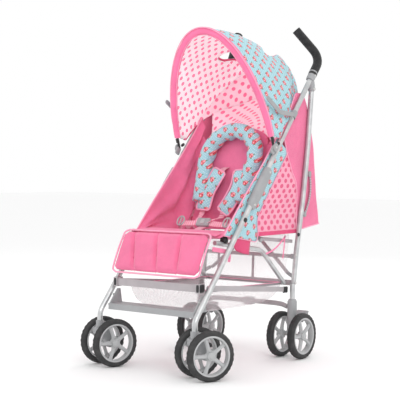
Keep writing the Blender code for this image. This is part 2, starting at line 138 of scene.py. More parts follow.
class Shader:
    """A Principled material under construction. add() makes a node and gives one of its outputs."""

    def __init__(self, name, colour, roughness, metallic=0.0, **sockets):
        self.material = bpy.data.materials.new(name)
        self.material.use_nodes = True
        self.tree = self.material.node_tree
        self.bsdf = self.tree.nodes["Principled BSDF"]
        self.base(colour)
        self.set("Roughness", roughness)
        self.set("Metallic", metallic)
        for socket, value in sockets.items():
            self.set(socket.replace("_", " "), value)

    def put(self, socket, value):
        if isinstance(value, bpy.types.NodeSocket):
            self.tree.links.new(value, socket)
        elif value is not None:
            socket.default_value = (*value, 1) if socket.type == "RGBA" else value

    def add(self, kind, *inputs, output=0, **settings):
        node = self.tree.nodes.new("ShaderNode" + kind)
        for key, value in settings.items():
            setattr(node, key, value)
        for socket, value in zip(node.inputs, inputs):
            self.put(socket, value)
        return node.outputs[output]

    def math(self, operation, *inputs):
        return self.add("Math", *inputs, operation=operation)

    def vector(self, operation, *inputs):
        return self.add("VectorMath", *inputs, operation=operation)

    def length(self, vector):
        return self.add("VectorMath", vector, output="Value", operation="LENGTH")

    def cloth(self):
        """Places on the cloth in metres, as it lay flat."""
        return self.add("Attribute", output="Vector", attribute_name="flat")

    def object(self):
        return self.add("TexCoord", output="Object")

    def axis(self, vector, index):
        return self.add("SeparateXYZ", vector, output=index)

    def wave(self, value, pitch):
        """A sine along value that repeats after pitch."""
        return self.math("SINE", self.math("MULTIPLY", value, math.tau / pitch))

    def noise(self, vector, scale, detail=3.0, roughness=0.5):
        return self.add("TexNoise", vector, None, scale, detail, roughness)

    def mix(self, factor, a, b):
        node = self.tree.nodes.new("ShaderNodeMix")
        node.data_type = "RGBA"
        self.put(node.inputs["Factor"], factor)
        self.put(node.inputs["A"], a)
        self.put(node.inputs["B"], b)
        return node.outputs["Result"]

    def fade(self, value, low, high, from_low=0.0, to_high=1.0):
        """A smooth step of value, from from_low at low to to_high at high."""
        return self.add("MapRange", value, low, high, from_low, to_high, interpolation_type="SMOOTHSTEP")

    def bump(self, height, distance, normal=None):
        node = self.tree.nodes.new("ShaderNodeBump")
        self.put(node.inputs["Strength"], 1.0)
        self.put(node.inputs["Distance"], distance)
        self.put(node.inputs["Height"], height)
        self.put(node.inputs["Normal"], normal)
        return node.outputs[0]

    def base(self, colour):
        self.put(self.bsdf.inputs["Base Color"], colour)

    def set(self, socket, value):
        self.put(self.bsdf.inputs[socket], value)


def srgb(red, green, blue):
    """A colour on the 0 to 255 scale as linear light."""
    def linear(c):
        c /= 255
        return c / 12.92 if c <= 0.04045 else ((c + 0.055) / 1.055) ** 2.4
    return linear(red), linear(green), linear(blue)


def painted_metal():
    """Satin silver powder coat: fine orange peel, and bare patches worn a little smoother."""
    s = Shader("frame_silver", srgb(196, 198, 198), 0.34, 0.72, Coat_Weight=0.25)
    where = s.object()
    worn = s.noise(where, 38.0, 5.0, 0.6)
    s.base(s.mix(s.fade(worn, 0.35, 0.75), srgb(188, 190, 191), srgb(212, 213, 213)))
    s.set("Roughness", s.fade(worn, 0.25, 0.8, 0.28, 0.42))
    s.set("Normal", s.bump(s.noise(where, 900.0, 2.0), 0.00012))
    return s.material


def shades(colour, spread, lift):
    """A darker and a lighter shade of a colour."""
    return [c * (1 - spread) for c in colour], [min(1, c * (1 + spread) + spread * lift) for c in colour]


def moulded_plastic(name, colour, roughness=0.5):
    """Spark-eroded plastic: a fine grain, and slightly polished where hands and dust rub it."""
    s = Shader(name, colour, roughness)
    where = s.object()
    patch = s.noise(where, 22.0, 4.0, 0.55)
    s.base(s.mix(s.fade(patch, 0.3, 0.7), *shades(colour, 0.06, 0.02)))
    s.set("Roughness", s.fade(patch, 0.3, 0.75, roughness - 0.08, roughness + 0.1))
    s.set("Normal", s.bump(s.noise(where, 1400.0, 2.0, 0.7), 0.0001))
    return s.material


def foam():
    """Closed-cell foam: small pits and a dusty skin."""
    s = Shader("black_foam", srgb(34, 34, 35), 0.85, Sheen_Weight=0.15)
    where = s.object()
    cells = s.add("TexVoronoi", where, None, 620.0)
    s.base(s.mix(s.fade(s.noise(where, 60.0), 0.3, 0.7), srgb(28, 28, 29), srgb(46, 46, 47)))
    s.set("Normal", s.bump(cells, 0.0003))
    return s.material


def rubber():
    """Tyre rubber with dust in its low places."""
    s = Shader("tyre_rubber", srgb(72, 71, 72), 0.75)
    where = s.object()
    dust = s.noise(where, 45.0, 6.0, 0.65)
    s.base(s.mix(s.fade(dust, 0.4, 0.75), srgb(44, 44, 45), srgb(70, 69, 69)))
    s.set("Roughness", s.fade(dust, 0.3, 0.8, 0.62, 0.9))
    s.set("Normal", s.bump(s.noise(where, 500.0), 0.0002))
    return s.material


def steel():
    s = Shader("steel", srgb(206, 206, 204), 0.28, 0.95)
    s.set("Roughness", s.fade(s.noise(s.object(), 260.0, 3.0), 0.3, 0.7, 0.2, 0.38))
    return s.material


THREAD = 0.0011  # a woven thread's pitch, over and under


def woven(s, flat, strength=1.0):
    """Plain weave over soft unevenness; gives the normal."""
    weave = s.math("MULTIPLY", s.wave(s.axis(flat, 0), THREAD), s.wave(s.axis(flat, 1), THREAD))
    soft = s.bump(s.noise(s.object(), 34.0, 3.0, 0.5), 0.0035 * strength)
    return s.bump(weave, 0.00012, soft)


def cloth_colour(s, colour, spread=0.05):
    """A colour that is uneven the way dyed cloth is, at two scales."""
    uneven = s.noise(s.object(), 16.0, 4.0, 0.6)
    return s.mix(s.fade(uneven, 0.3, 0.7), *shades(colour, spread, 0.03))


def fabric(name, colour, strength=1.0):
    s = Shader(name, colour, 0.82, Sheen_Weight=0.25, Sheen_Roughness=0.45)
    s.base(cloth_colour(s, colour))
    s.set("Normal", woven(s, s.cloth(), strength))
    return s.material


def lattice(s, flat, pitch, shift):
    """Distance to the nearest point of a grid with that pitch, moved by shift."""
    half = (pitch[0] / 2, pitch[1] / 2, 1.0)
    low = (-pitch[0] / 2, -pitch[1] / 2, -1.0)
    moved = s.vector("SUBTRACT", flat, (*shift, 0.0))
    return s.vector("WRAP", moved, half, low)


def spots(s, flat, pitch, radius, shift=(0.0, 0.0), stretch=(1.0, 1.0)):
    """1 inside the spots of a staggered grid, 0 outside."""
    found = None
    for step in (0.0, 0.5):
        start = (shift[0] + step * pitch[0], shift[1] + step * pitch[1])
        offset = s.vector("MULTIPLY", lattice(s, flat, pitch, start), (*stretch, 1.0))
        near = s.fade(s.length(offset), radius * 0.9, radius * 1.1, 1.0, 0.0)
        found = near if found is None else s.math("MAXIMUM", found, near)
    return found


def dotted(name, ground, dot, pitch, radius, glow=0.0):
    """Cloth printed with staggered dots; glow stands for the daylight that comes through thin cloth."""
    s = Shader(name, ground, 0.8, Sheen_Weight=0.2, Sheen_Roughness=0.5, Emission_Strength=glow)
    flat = s.cloth()
    colour = s.mix(spots(s, flat, pitch, radius), cloth_colour(s, ground, 0.03), dot)
    s.base(colour)
    s.set("Emission Color", colour)
    s.set("Normal", woven(s, flat, 0.8))
    return s.material


ROSE_PITCH = (0.047, 0.050)
ROSE_R = 0.0084
LEAVES = (  # shift from the rose's middle, and how the leaf's spot is squeezed
    ((0.009, 0.003), (0.62, 1.3)),
    ((-0.008, 0.006), (1.25, 0.7)),
    ((0.002, -0.010), (0.8, 1.2)),
)
PETALS = (  # shift, radius, colour
    ((0.0024, 0.0024), 0.0046, srgb(245, 176, 178)),
    ((-0.0020, 0.0012), 0.0032, srgb(238, 120, 132)),
    ((0.0012, -0.0006), 0.0020, srgb(196, 40, 62)),
    ((-0.0024, -0.0026), 0.0022, srgb(250, 214, 206)),
)


def floral():
    """Pale blue cloth printed with small roses, leaves and pin dots."""
    ground = srgb(160, 208, 219)
    s = Shader("floral_fabric", ground, 0.8, Sheen_Weight=0.2, Sheen_Roughness=0.5)
    flat = s.cloth()
    wobble = s.vector("SCALE", s.vector("SUBTRACT", s.add("TexNoise", flat, None, 30.0), (0.5, 0.5, 0.5)))
    wobble.node.inputs["Scale"].default_value = 0.004
    drawn = s.vector("ADD", flat, wobble)
    colour = cloth_colour(s, ground, 0.03)
    pins = spots(s, flat, (0.0105, 0.0105), 0.0011)
    colour = s.mix(pins, colour, srgb(240, 247, 247))
    for shift, stretch in LEAVES:
        leaf = spots(s, drawn, ROSE_PITCH, 0.0026, shift, stretch)
        colour = s.mix(leaf, colour, srgb(96, 142, 110))
    colour = s.mix(spots(s, drawn, ROSE_PITCH, ROSE_R), colour, srgb(222, 74, 92))
    for shift, radius, tone in PETALS:
        colour = s.mix(spots(s, drawn, ROSE_PITCH, radius, shift), colour, tone)
    s.base(colour)
    s.set("Normal", woven(s, flat, 0.8))
    return s.material


def netting():
    """White net: threads with open holes between them."""
    s = Shader("mesh_fabric", srgb(244, 242, 243), 0.7, Sheen_Weight=0.1)
    offset = lattice(s, s.cloth(), (0.0028, 0.0028), (0.0, 0.0))
    hole = s.fade(s.length(offset), 0.0010, 0.0014, 0.04, 0.32)
    s.set("Alpha", hole)
    s.set("Normal", s.bump(hole, 0.0003))
    return s.material


def webbing(name, colour, stripe=None):
    """Ribbed strap: fine ribs across its length, and a coloured stripe where it has one."""
    s = Shader(name, colour, 0.7, Sheen_Weight=0.2)
    length = s.axis(s.cloth(), 0)
    base = cloth_colour(s, colour)
    if stripe:
        base = s.mix(s.fade(s.wave(length, 0.008), 0.2, 0.6), base, stripe)
    s.base(base)
    s.set("Normal", s.bump(s.wave(length, 0.0016), 0.0002))
    return s.material


PINK = srgb(238, 117, 158)
SILVER = painted_metal()
GREY = moulded_plastic("grey_plastic", srgb(158, 159, 161))
BLACK = moulded_plastic("black_plastic", srgb(36, 36, 38), 0.42)
RIM = moulded_plastic("rim_plastic", srgb(176, 177, 178), 0.42)
MAUVE = webbing("mauve_webbing", srgb(176, 168, 172))
FOAM = foam()
RUBBER = rubber()
STEEL = steel()
PINK_CLOTH = fabric("pink_fabric", PINK)
DEEP_PINK = fabric("deep_pink_fabric", srgb(224, 66, 118))
PIPING = fabric("light_pink_piping", srgb(252, 168, 196), 0.2)
BAND_CLOTH = fabric("band_pink_fabric", srgb(249, 122, 168), 1.3)
FLORAL = floral()
# painted light: the hood's lining in two lit copies; LINING is whiter where daylight comes through it, and
# the copy behind the seam has a ground painted pink for the light from the pink cloth behind it
LINING = dotted("lining_fabric", srgb(250, 246, 248), srgb(246, 138, 170), (0.032, 0.036), 0.0066, 0.20)
PINK_LIT_LINING = dotted("pink_lit_lining_fabric", srgb(253, 222, 231), srgb(244, 122, 160), (0.036, 0.040), 0.0070,
                     0.18)
PANEL = dotted("panel_fabric", srgb(243, 164, 187), srgb(228, 84, 128), (0.028, 0.034), 0.0070)
NET = netting()
STRAP = webbing("harness_webbing", srgb(250, 190, 205), srgb(238, 110, 150))
PINK_TAPE = webbing("pink_tape", srgb(250, 132, 172))
STRAP_GREY = webbing("striped_grey_webbing", srgb(188, 172, 180), srgb(140, 120, 130))
SLOTS = {
    "frame_silver": (SILVER,),
    "grey_plastic": (GREY, BLACK, RIM),
    "pink_fabric": (PINK_CLOTH, DEEP_PINK, PIPING, BAND_CLOTH, PANEL, STRAP, PINK_TAPE),
    "floral_fabric": (FLORAL, LINING, PINK_LIT_LINING),
    "mesh_fabric": (NET, MAUVE, STRAP_GREY),
}
SLOT_OF = {material.name: slot for slot, materials in SLOTS.items() for material in materials}

# --- Building pieces ---


def make(name, verts, faces, material, body, flat=None, sharp=40, thick=0.0, levels=0, slot=None):
    """A piece from points and faces, riding on a body. flat gives each point's place on flat cloth.
    Its slot, its material's own unless slot names another or none with an empty name, is worked out and not
    given to it."""
    mesh = bpy.data.meshes.new(name)
    mesh.from_pydata([tuple(Vector(v) + ORIGIN) for v in verts], [], faces)
    mesh.materials.append(material)
    mesh.shade_smooth()
    mesh.set_sharp_from_angle(angle=math.radians(sharp))
    obj = bpy.data.objects.new(name, mesh)
    bpy.context.scene.collection.objects.link(obj)
    if flat is not None:
        lay_flat(obj, flat)
    if thick:
        modifier = obj.modifiers.new("thickness", "SOLIDIFY")
        modifier.thickness = thick
        modifier.offset = 0
    if levels:
        subdivide(obj, levels)
    if body:
        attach(obj, body)
    if slot is None:
        slot = SLOT_OF.get(material.name)
    return obj


def subdivide(obj, levels):
    modifier = obj.modifiers.new("rounding", "SUBSURF")
    modifier.levels = modifier.render_levels = levels


def lay_flat(obj, flat):
    """Stores each point's place on the flat cloth, which the cloth materials read."""
    if callable(flat):
        flat = [flat(v.co - ORIGIN) for v in obj.data.vertices]
    kept = obj.data.attributes.new("flat", "FLOAT_VECTOR", "POINT")
    for entry, place in zip(kept.data, flat):
        entry.vector = (place[0], place[1], 0)


def grid_faces(rows, columns, closed=False):
    """Quads between rows of points; closed joins each row's end to its start."""
    last = columns if closed else columns - 1
    return [
        (i * columns + j, i * columns + (j + 1) % columns,
         (i + 1) * columns + (j + 1) % columns, (i + 1) * columns + j)
        for i in range(rows - 1) for j in range(last)
    ]


def spread_flat(points, rows, columns):
    """Flat places for a grid: lengths along its rows from the middle, and along its middle column."""
    middle = columns // 2
    flat, run = [], 0.0
    for i in range(rows):
        row = points[i * columns:(i + 1) * columns]
        if i:
            run += (row[middle] - points[(i - 1) * columns + middle]).length
        steps = [0.0]
        for a, b in zip(row, row[1:]):
            steps.append(steps[-1] + (b - a).length)
        flat += [(step - steps[middle], run) for step in steps]
    return flat


def panel(name, rows, columns, place, material, body, thick=0.0012, levels=0):
    """A sheet of cloth: place(u, v) gives a point for u along the rows and v from row to row, 0 to 1."""
    points = [Vector(place(j / (columns - 1), i / (rows - 1))) for i in range(rows) for j in range(columns)]
    flat = spread_flat(points, rows, columns)
    return make(name, points, grid_faces(rows, columns), material, body, flat, 60, thick, levels)


def curve_through(points, steps=6):
    """A smooth line through points."""
    points = [Vector(p) for p in points]
    padded = [points[0] * 2 - points[1], *points, points[-1] * 2 - points[-2]]
    line = []
    for a, b, c, d in zip(padded, padded[1:], padded[2:], padded[3:]):
        for k in range(steps):
            t = k / steps
            line.append(0.5 * (2 * b + (c - a) * t + (2 * a - 5 * b + 4 * c - d) * t * t
                               + (3 * b - 3 * c + d - a) * t * t * t))
    return [*line, points[-1]]


def directions(line):
    out = []
    for i in range(len(line)):
        out.append((line[min(i + 1, len(line) - 1)] - line[max(i - 1, 0)]).normalized())
    return out


def sweep(name, line, section, material, body, facing=None, scale=None, closed=False, sharp=50, slot=None):
    """A section, as (side, out) points, carried along a line. facing is the direction that out starts
    from, or a function of the line's share that gives it; scale gives the section's size there."""
    line = [Vector(p) for p in line]
    ways = directions(line)
    if closed:
        ways[0] = ways[-1] = (line[1] - line[-2]).normalized()
    out = Vector((0, 0, 1)) if facing is None or callable(facing) else Vector(facing)
    if abs(ways[0].dot(out)) > 0.95:
        out = Vector((1, 0, 0))
    points, flat, run, around = [], [], 0.0, [0.0]
    ring = [*section, section[0]]
    for a, b in zip(ring, ring[1:]):
        around.append(around[-1] + math.dist(a, b))
    for i, (at, way) in enumerate(zip(line, ways)):
        share = i / (len(line) - 1)
        if callable(facing):
            out = Vector(facing(share))
        out = (out - way * out.dot(way)).normalized()
        side = way.cross(out)
        size = scale(share) if scale else (1, 1)
        run += (at - line[i - 1]).length if i else 0
        for k, (a, b) in enumerate(section):
            points.append(at + side * a * size[0] + out * b * size[1])
            flat.append((run, around[k]))
    count = len(section)
    faces = grid_faces(len(line), count, True)
    if not closed:
        last = (len(line) - 1) * count
        faces += [tuple(range(count))[::-1], tuple(last + k for k in range(count))]
    faces = [tuple(reversed(f)) for f in faces]
    return make(name, points, faces, material, body, flat, sharp, slot=slot)


def round_section(radius, sides, other=None):
    """A circle, or an oval with another radius outwards."""
    turns = [math.tau * k / sides for k in range(sides)]
    return [(radius * math.cos(turn), (other or radius) * math.sin(turn)) for turn in turns]


def strap_section(width, thickness, corner=0.35):
    """A flat strap's section with soft edges."""
    a, b, c = width / 2, thickness / 2, thickness * corner
    return [(-a, 0), (-a + c, -b), (0, -b), (a - c, -b), (a, 0), (a - c, b), (0, b), (-a + c, b)]


def tube(name, line, radius, material, body, sides=12, closed=False, slot=None):
    return sweep(name, line, round_section(radius, sides), material, body, closed=closed, slot=slot)


def strap(name, line, width, material, body, facing, thickness=0.0016):
    return sweep(name, line, strap_section(width, thickness), material, body, facing)


def turned(name, profile, at, axis, material, body, steps=24, slot=None):
    """A turned piece: profile is (distance along the axis, radius) points, from one end to the other."""
    turn = Vector((0, 0, 1)).rotation_difference(Vector(axis)).to_matrix()
    points = []
    for high, radius in profile:
        for k in range(steps):
            angle = math.tau * k / steps
            around = Vector((radius * math.cos(angle), radius * math.sin(angle), high))
            points.append(Vector(at) + turn @ around)
    faces = grid_faces(len(profile), steps, True)
    faces.append(tuple(range(steps))[::-1])
    faces.append(tuple((len(profile) - 1) * steps + k for k in range(steps)))
    return make(name, points, faces, material, body, slot=slot)


def rivet(name, at, axis, body, radius, material=STEEL, rise=0.0022):
    """A domed rivet head standing on a face, with its skirt."""
    dome = [(rise * math.sin(a), radius * math.cos(a)) for a in (0.0, 0.35, 0.7, 1.05, 1.4)]
    profile = [(-0.001, radius * 0.98), (0.0, radius), *dome[1:]]
    return turned(name, profile, at, axis, material, body, 16, slot="")


def soft_offset(point, size, amount, seed=0):
    """A smooth random shift, the same each run."""
    p = Vector(point) / size + Vector((seed * 7.3, seed * 3.1, seed * 1.7))
    return amount * noise.noise(p)


def bake(obj):
    """Makes the modifiers' result the object's own mesh."""
    shape = obj.evaluated_get(bpy.context.evaluated_depsgraph_get())
    mesh = bpy.data.meshes.new_from_object(shape)
    obj.modifiers.clear()
    obj.data = mesh


def puff(obj, voxel, pressure, cap, frames=20, tension=15.0):
    """Blows a closed shape up as a stuffed cloth bag, by cloth simulation. No point moves over cap."""
    scene = bpy.context.scene
    remesh = obj.modifiers.new("remesh", "REMESH")
    remesh.mode = "VOXEL"
    remesh.voxel_size = voxel
    bake(obj)
    start = np.array([v.co for v in obj.data.vertices])
    cloth = obj.modifiers.new("cloth", "CLOTH")
    cloth.settings.quality = 5
    cloth.settings.mass = 0.25
    cloth.settings.tension_stiffness = tension
    cloth.settings.compression_stiffness = tension
    cloth.settings.shear_stiffness = tension / 3
    cloth.settings.bending_stiffness = 0.4
    cloth.settings.use_pressure = True
    cloth.settings.uniform_pressure_force = pressure
    cloth.settings.effector_weights.gravity = 0
    cloth.point_cache.frame_end = frames
    for step in range(1, frames + 1):
        scene.frame_set(step)
    bake(obj)
    scene.frame_set(1)
    end = np.array([v.co for v in obj.data.vertices])
    moved = end - start
    far = np.linalg.norm(moved, axis=1, keepdims=True)
    start = start + moved * np.minimum(1, cap / np.maximum(far, 1e-9))
    obj.data.vertices.foreach_set("co", start.ravel())
    obj.data.shade_smooth()
    return obj


def finish_pad(obj, material, body, flat, shape=None):
    """After puff: vertex moves for seams, the cloth's lie, one subdivision, its material and its body."""
    if shape:
        for v in obj.data.vertices:
            v.co = shape(v.co - ORIGIN) + ORIGIN
    lay_flat(obj, flat)
    subdivide(obj, 1)
    obj.data.materials.clear()
    obj.data.materials.append(material)
    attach(obj, body)


def block(name, rows, columns, place, thickness, material):
    """A closed slab on the sheet place(u, v), thickness(u, v) thick about it: the start of a pad."""
    points, back = [], []
    for i in range(rows):
        for j in range(columns):
            u, v = j / (columns - 1), i / (rows - 1)
            step = 0.001
            at = Vector(place(u, v))
            du = Vector(place(min(u + step, 1), v)) - Vector(place(max(u - step, 0), v))
            dv = Vector(place(u, min(v + step, 1))) - Vector(place(u, max(v - step, 0)))
            normal = du.cross(dv).normalized()
            half = thickness(u, v) / 2
            points.append(at + normal * half)
            back.append(at - normal * half)
    count = len(points)
    faces = grid_faces(rows, columns)
    faces += [tuple(count + k for k in reversed(f)) for f in grid_faces(rows, columns)]
    rim = [*range(columns), *(i * columns + columns - 1 for i in range(1, rows))]
    rim += [count - 2 - j for j in range(columns - 1)] + [(rows - 2 - i) * columns for i in range(rows - 2)]
    for a, b in zip(rim, [*rim[1:], rim[0]]):
        faces.append((a, count + a, count + b, b))
    return make(name, points + back, faces, material, None)


def cloth_sheet(obj):
    """Reads a sheet's flat places; nothing more is done with them."""
    places = np.array([entry.vector[:2] for entry in obj.data.attributes["flat"].data])

# --- Stage ---


def camera():
    """The photograph's viewpoint."""
    azimuth, elevation, roll = (math.radians(a) for a in (37.393, 1.422, 0.521))
    distance = 3.385
    target = ORIGIN + Vector((-0.005, 0.25, 0.502))
    back = Vector((
        math.sin(azimuth) * math.cos(elevation),
        -math.cos(azimuth) * math.cos(elevation),
        math.sin(elevation),
    ))
    data = bpy.data.cameras.new("camera")
    data.lens = 98.0
    obj = bpy.data.objects.new("camera", data)
    obj.location = target + back * distance
    turn = (-back).to_track_quat("-Z", "Y").to_matrix() @ Matrix.Rotation(roll, 3, "Z")
    obj.rotation_euler = turn.to_euler()
    bpy.context.scene.collection.objects.link(obj)
    bpy.context.scene.camera = obj


def area_light(name, at, size, power):
    data = bpy.data.lights.new(name, "AREA")
    data.shape = "DISK"
    data.size = size
    data.energy = power
    obj = bpy.data.objects.new(name, data)
    obj.location = at
    obj.rotation_euler = (Vector((0, 0, 0.5)) - Vector(at)).to_track_quat("-Z", "Y").to_euler()
    bpy.context.scene.collection.objects.link(obj)


def stage():
    bpy.context.scene.view_settings.view_transform = "Standard"
    world = bpy.data.worlds.new("studio")
    bpy.context.scene.world = world
    world.use_nodes = True
    background = world.node_tree.nodes["Background"]
    background.inputs["Color"].default_value = (1, 1, 1, 1)
    background.inputs["Strength"].default_value = 1.0
    area_light("key", (2.6, -2.2, 2.6), 2.0, 34)
    area_light("fill", (-3.0, -2.0, 1.4), 2.6, 12)
    area_light("back", (-0.6, 2.8, 2.4), 2.0, 20)
    s = Shader("paper_floor", srgb(250, 250, 250), 0.9)
    s.set("Roughness", s.fade(s.noise(s.object(), 3.0), 0.3, 0.7, 0.86, 0.94))
    bpy.ops.mesh.primitive_plane_add(size=40)
    floor = bpy.context.object
    floor.name = "floor"
    floor.data.materials.append(s.material)


camera()
stage()

# --- Finishes of the CAD nodes that stay ---

BAR = moulded_plastic("grey_bar", srgb(172, 166, 169), 0.42)
FINISHES = (
    (SILVER, ("front_tube", "rear_leg", "seat_rail")),
    (BAR, ("side_bar", "front_crossbar", "cross_brace", "rear_crossbar")),
    (GREY, ("handle_bracket", "hood_pivot", "stay_", "caster_fork", "rear_housing", "footrest",
            "brake_lever")),
    (FOAM, ("handle_grip",)),
    (STEEL, ("axle",)),
    (BLACK, ("hood_bow",)),
)
for finish, prefixes in FINISHES:
    for node, obj in frame["nodes"].items():
        if node.startswith(prefixes):
            if not obj.material_slots:
                obj.data.materials.append(finish)
            for entry in obj.material_slots:
                entry.material = finish

# --- Wheels ---

SPOKES = 5


def ring(name, section, material, steps=120, shape=None):
    """A closed section, as (axial, radius) points, turned about z at the world's origin."""
    points = []
    for k in range(steps):
        angle = math.tau * k / steps
        for high, radius in section:
            radius += shape(k, high, radius) if shape else 0
            points.append(Vector((radius * math.cos(angle), radius * math.sin(angle), high)) - ORIGIN)
    points += points[:len(section)]
    faces = [tuple(reversed(f)) for f in grid_faces(steps + 1, len(section), True)]
    obj = make(name, points, faces, material, None)
    bm = bmesh.new()
    bm.from_mesh(obj.data)
    bmesh.ops.remove_doubles(bm, verts=bm.verts, dist=1e-6)
    bmesh.ops.recalc_face_normals(bm, faces=bm.faces)
    bm.to_mesh(obj.data)
    bm.free()
    return obj


def tyre_mesh():
    half = [
        (0.0, 0.0725), (0.0022, 0.0725), (0.0026, 0.0712), (0.0040, 0.0712), (0.0044, 0.0723),
        (0.0072, 0.0719), (0.0098, 0.0706), (0.0114, 0.0682), (0.0120, 0.0650), (0.0116, 0.0615),
        (0.0106, 0.0590), (0.0100, 0.0576),
    ]
    section = half + [(-h, r) for h, r in reversed(half[1:])]

    def sipe(k, high, radius):
        return -0.0011 if k % 4 < 2 and 0.0050 < abs(high) < 0.0115 and radius > 0.066 else 0

    return ring("tyre", section, RUBBER, shape=sipe)


def joined(name, pieces):
    """The pieces' meshes as one object."""
    bm = bmesh.new()
    for piece in pieces:
        bm.from_mesh(piece.data)
    mesh = bpy.data.meshes.new(name)
    bmesh.ops.recalc_face_normals(bm, faces=bm.faces)
    bm.to_mesh(mesh)
    bm.free()
    mesh.materials.append(pieces[0].data.materials[0])
    mesh.shade_smooth()
    mesh.set_sharp_from_angle(angle=math.radians(38))
    obj = bpy.data.objects.new(name, mesh)
    bpy.context.scene.collection.objects.link(obj)
    for piece in pieces:
        bpy.data.objects.remove(piece)
    return obj


def rim_mesh():
    """Five waisted spokes between a hub with a domed cap and a barrel with two lips."""
    half = [(0.0, 0.0572), (0.0072, 0.0570), (0.0088, 0.0592), (0.0098, 0.0590), (0.0101, 0.0560),
            (0.0096, 0.0528), (0.0070, 0.0518), (0.0, 0.0522)]
    barrel = ring("barrel", half + [(-h, r) for h, r in reversed(half[1:-1])], RIM, 96)
    pieces = [barrel]
    hub = [(-0.0120, 0.0060), (-0.0118, 0.0100), (-0.0100, 0.0128), (0.0092, 0.0128), (0.0104, 0.0118),
           (0.0106, 0.0088), (0.0116, 0.0082), (0.0126, 0.0062), (0.0130, 0.0020)]
    pieces.append(turned("hub", hub, -ORIGIN, (0, 0, 1), RIM, None, steps=32))
    for k in range(SPOKES):
        angle = math.tau * (k + 0.25) / SPOKES
        way = Vector((math.cos(angle), math.sin(angle), 0))
        line = []
        for i in range(11):
            rise = Vector((0, 0, 0.0014 * math.sin(math.pi * i / 10)))
            line.append(way * (0.0095 + 0.0435 * i / 10) + rise - ORIGIN)

        def waist(share):
            return 1 + 0.85 * (2 * share - 1) ** 4 + 0.25 * (1 - share), 1.05 - 0.15 * share

        pieces.append(sweep(f"spoke{k}", line, strap_section(0.0105, 0.0100, 0.25), RIM, None,
                            facing=(0, 0, 1), scale=waist))
    return joined("rim", pieces)


def wheels():
    """The same tyre and rim, eight times, each where its CAD wheel is."""
    tyre, rim = tyre_mesh(), rim_mesh()
    for end in ("front", "rear"):
        for side, sign in SIDES:
            for place in ("inner", "outer"):
                which = f"{end}_{side}_{place}"
                axis = Vector(JOINTS[f"spin_{which}"]["axis"]) * (1 if place == "outer" else -1) * sign
                up = Vector((0, 0, 1))
                turn = Matrix((up, axis.cross(up), axis)).transposed().to_4x4()
                at = Matrix.Translation(middle_of(f"tyre_{which}") + ORIGIN)
                for source, node, slot in ((tyre, "tyre", "tyre_rubber"), (rim, "rim", "rim_plastic")):
                    obj = bpy.data.objects.new(f"{node}_{which}_wheel", source.data)
                    bpy.context.scene.collection.objects.link(obj)
                    obj.matrix_world = at @ turn
                    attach(obj, f"wheel_{which}")
                    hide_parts(f"{node}_{which}")
    bpy.data.objects.remove(tyre)
    bpy.data.objects.remove(rim)


wheels()

# --- Hood ---

CLOTH_THICK = 0.0009
HOOD_FRONT = 109.7  # degrees about the pivots, from straight back to the bow
HOOD_SEAM = 49.0
STAY_INSIDE = 0.1915  # the stays' inner faces are just outside this x
HOOD_TIP = math.radians(5.5)  # where the fabric starts above the pivots
HOOD_SHAPE = ((25, 0.90), (33, 0.985), (43, 1.045), (54, 1.035), (64, 0.965), (70, 0.942), (82, 0.942),
              (96, 0.962), (110, 1.0))
VENT = (90.0, 59.0, 30.0, 8.2)  # middle and half sizes in degrees, across and along
VENT_BEND = 14.0  # how far the vent's ends lie ahead of its middle, in degrees


def hood_point(across, angle, proud=0.0):
    """A point of the dome: across goes from 0 on the left to pi on the right, angle is in degrees."""
    radius = (HOOD_R * along(HOOD_SHAPE, angle) + proud) * math.sin(across)
    turn = math.radians(angle)
    return Vector((
        (HOOD_HALF + proud) * math.cos(across),
        HOOD_PIVOT.y + radius * math.cos(turn),
        HOOD_PIVOT.z + radius * math.sin(turn),
    ))


def rear_edge(across):
    """Where the hood's fabric ends at the back: further round in the middle than at the sides."""
    return lerp(50.0, 31.0, smooth(math.sin(across) * 1.15))


def vent_middle(across):
    return VENT[1] + VENT_BEND * ((math.degrees(across) - VENT[0]) / VENT[2]) ** 2


def in_vent(across, angle):
    """Under 1 inside the vent's rounded outline."""
    x = abs(math.degrees(across) - VENT[0]) / VENT[2]
    y = abs(angle - vent_middle(across)) / VENT[3]
    return (x ** 3.2 + y ** 2.4) ** (1 / 2.8)


def spread_gore(points, rows, columns):
    """Flat places for a gore: lengths along its middle row, and along each column from that row."""
    middle_row, middle = rows // 2, columns // 2

    def span(a, b):
        return (points[a] - points[b]).length

    flat = []
    for i in range(rows):
        for j in range(columns):
            start = middle_row * columns
            across = sum(span(start + k + 1, start + k) for k in range(min(j, middle), max(j, middle)))
            low, high = sorted((i, middle_row))
            run = sum(span((k + 1) * columns + j, k * columns + j) for k in range(low, high))
            flat.append((math.copysign(across, j - middle), math.copysign(run, i - middle_row)))
    return flat


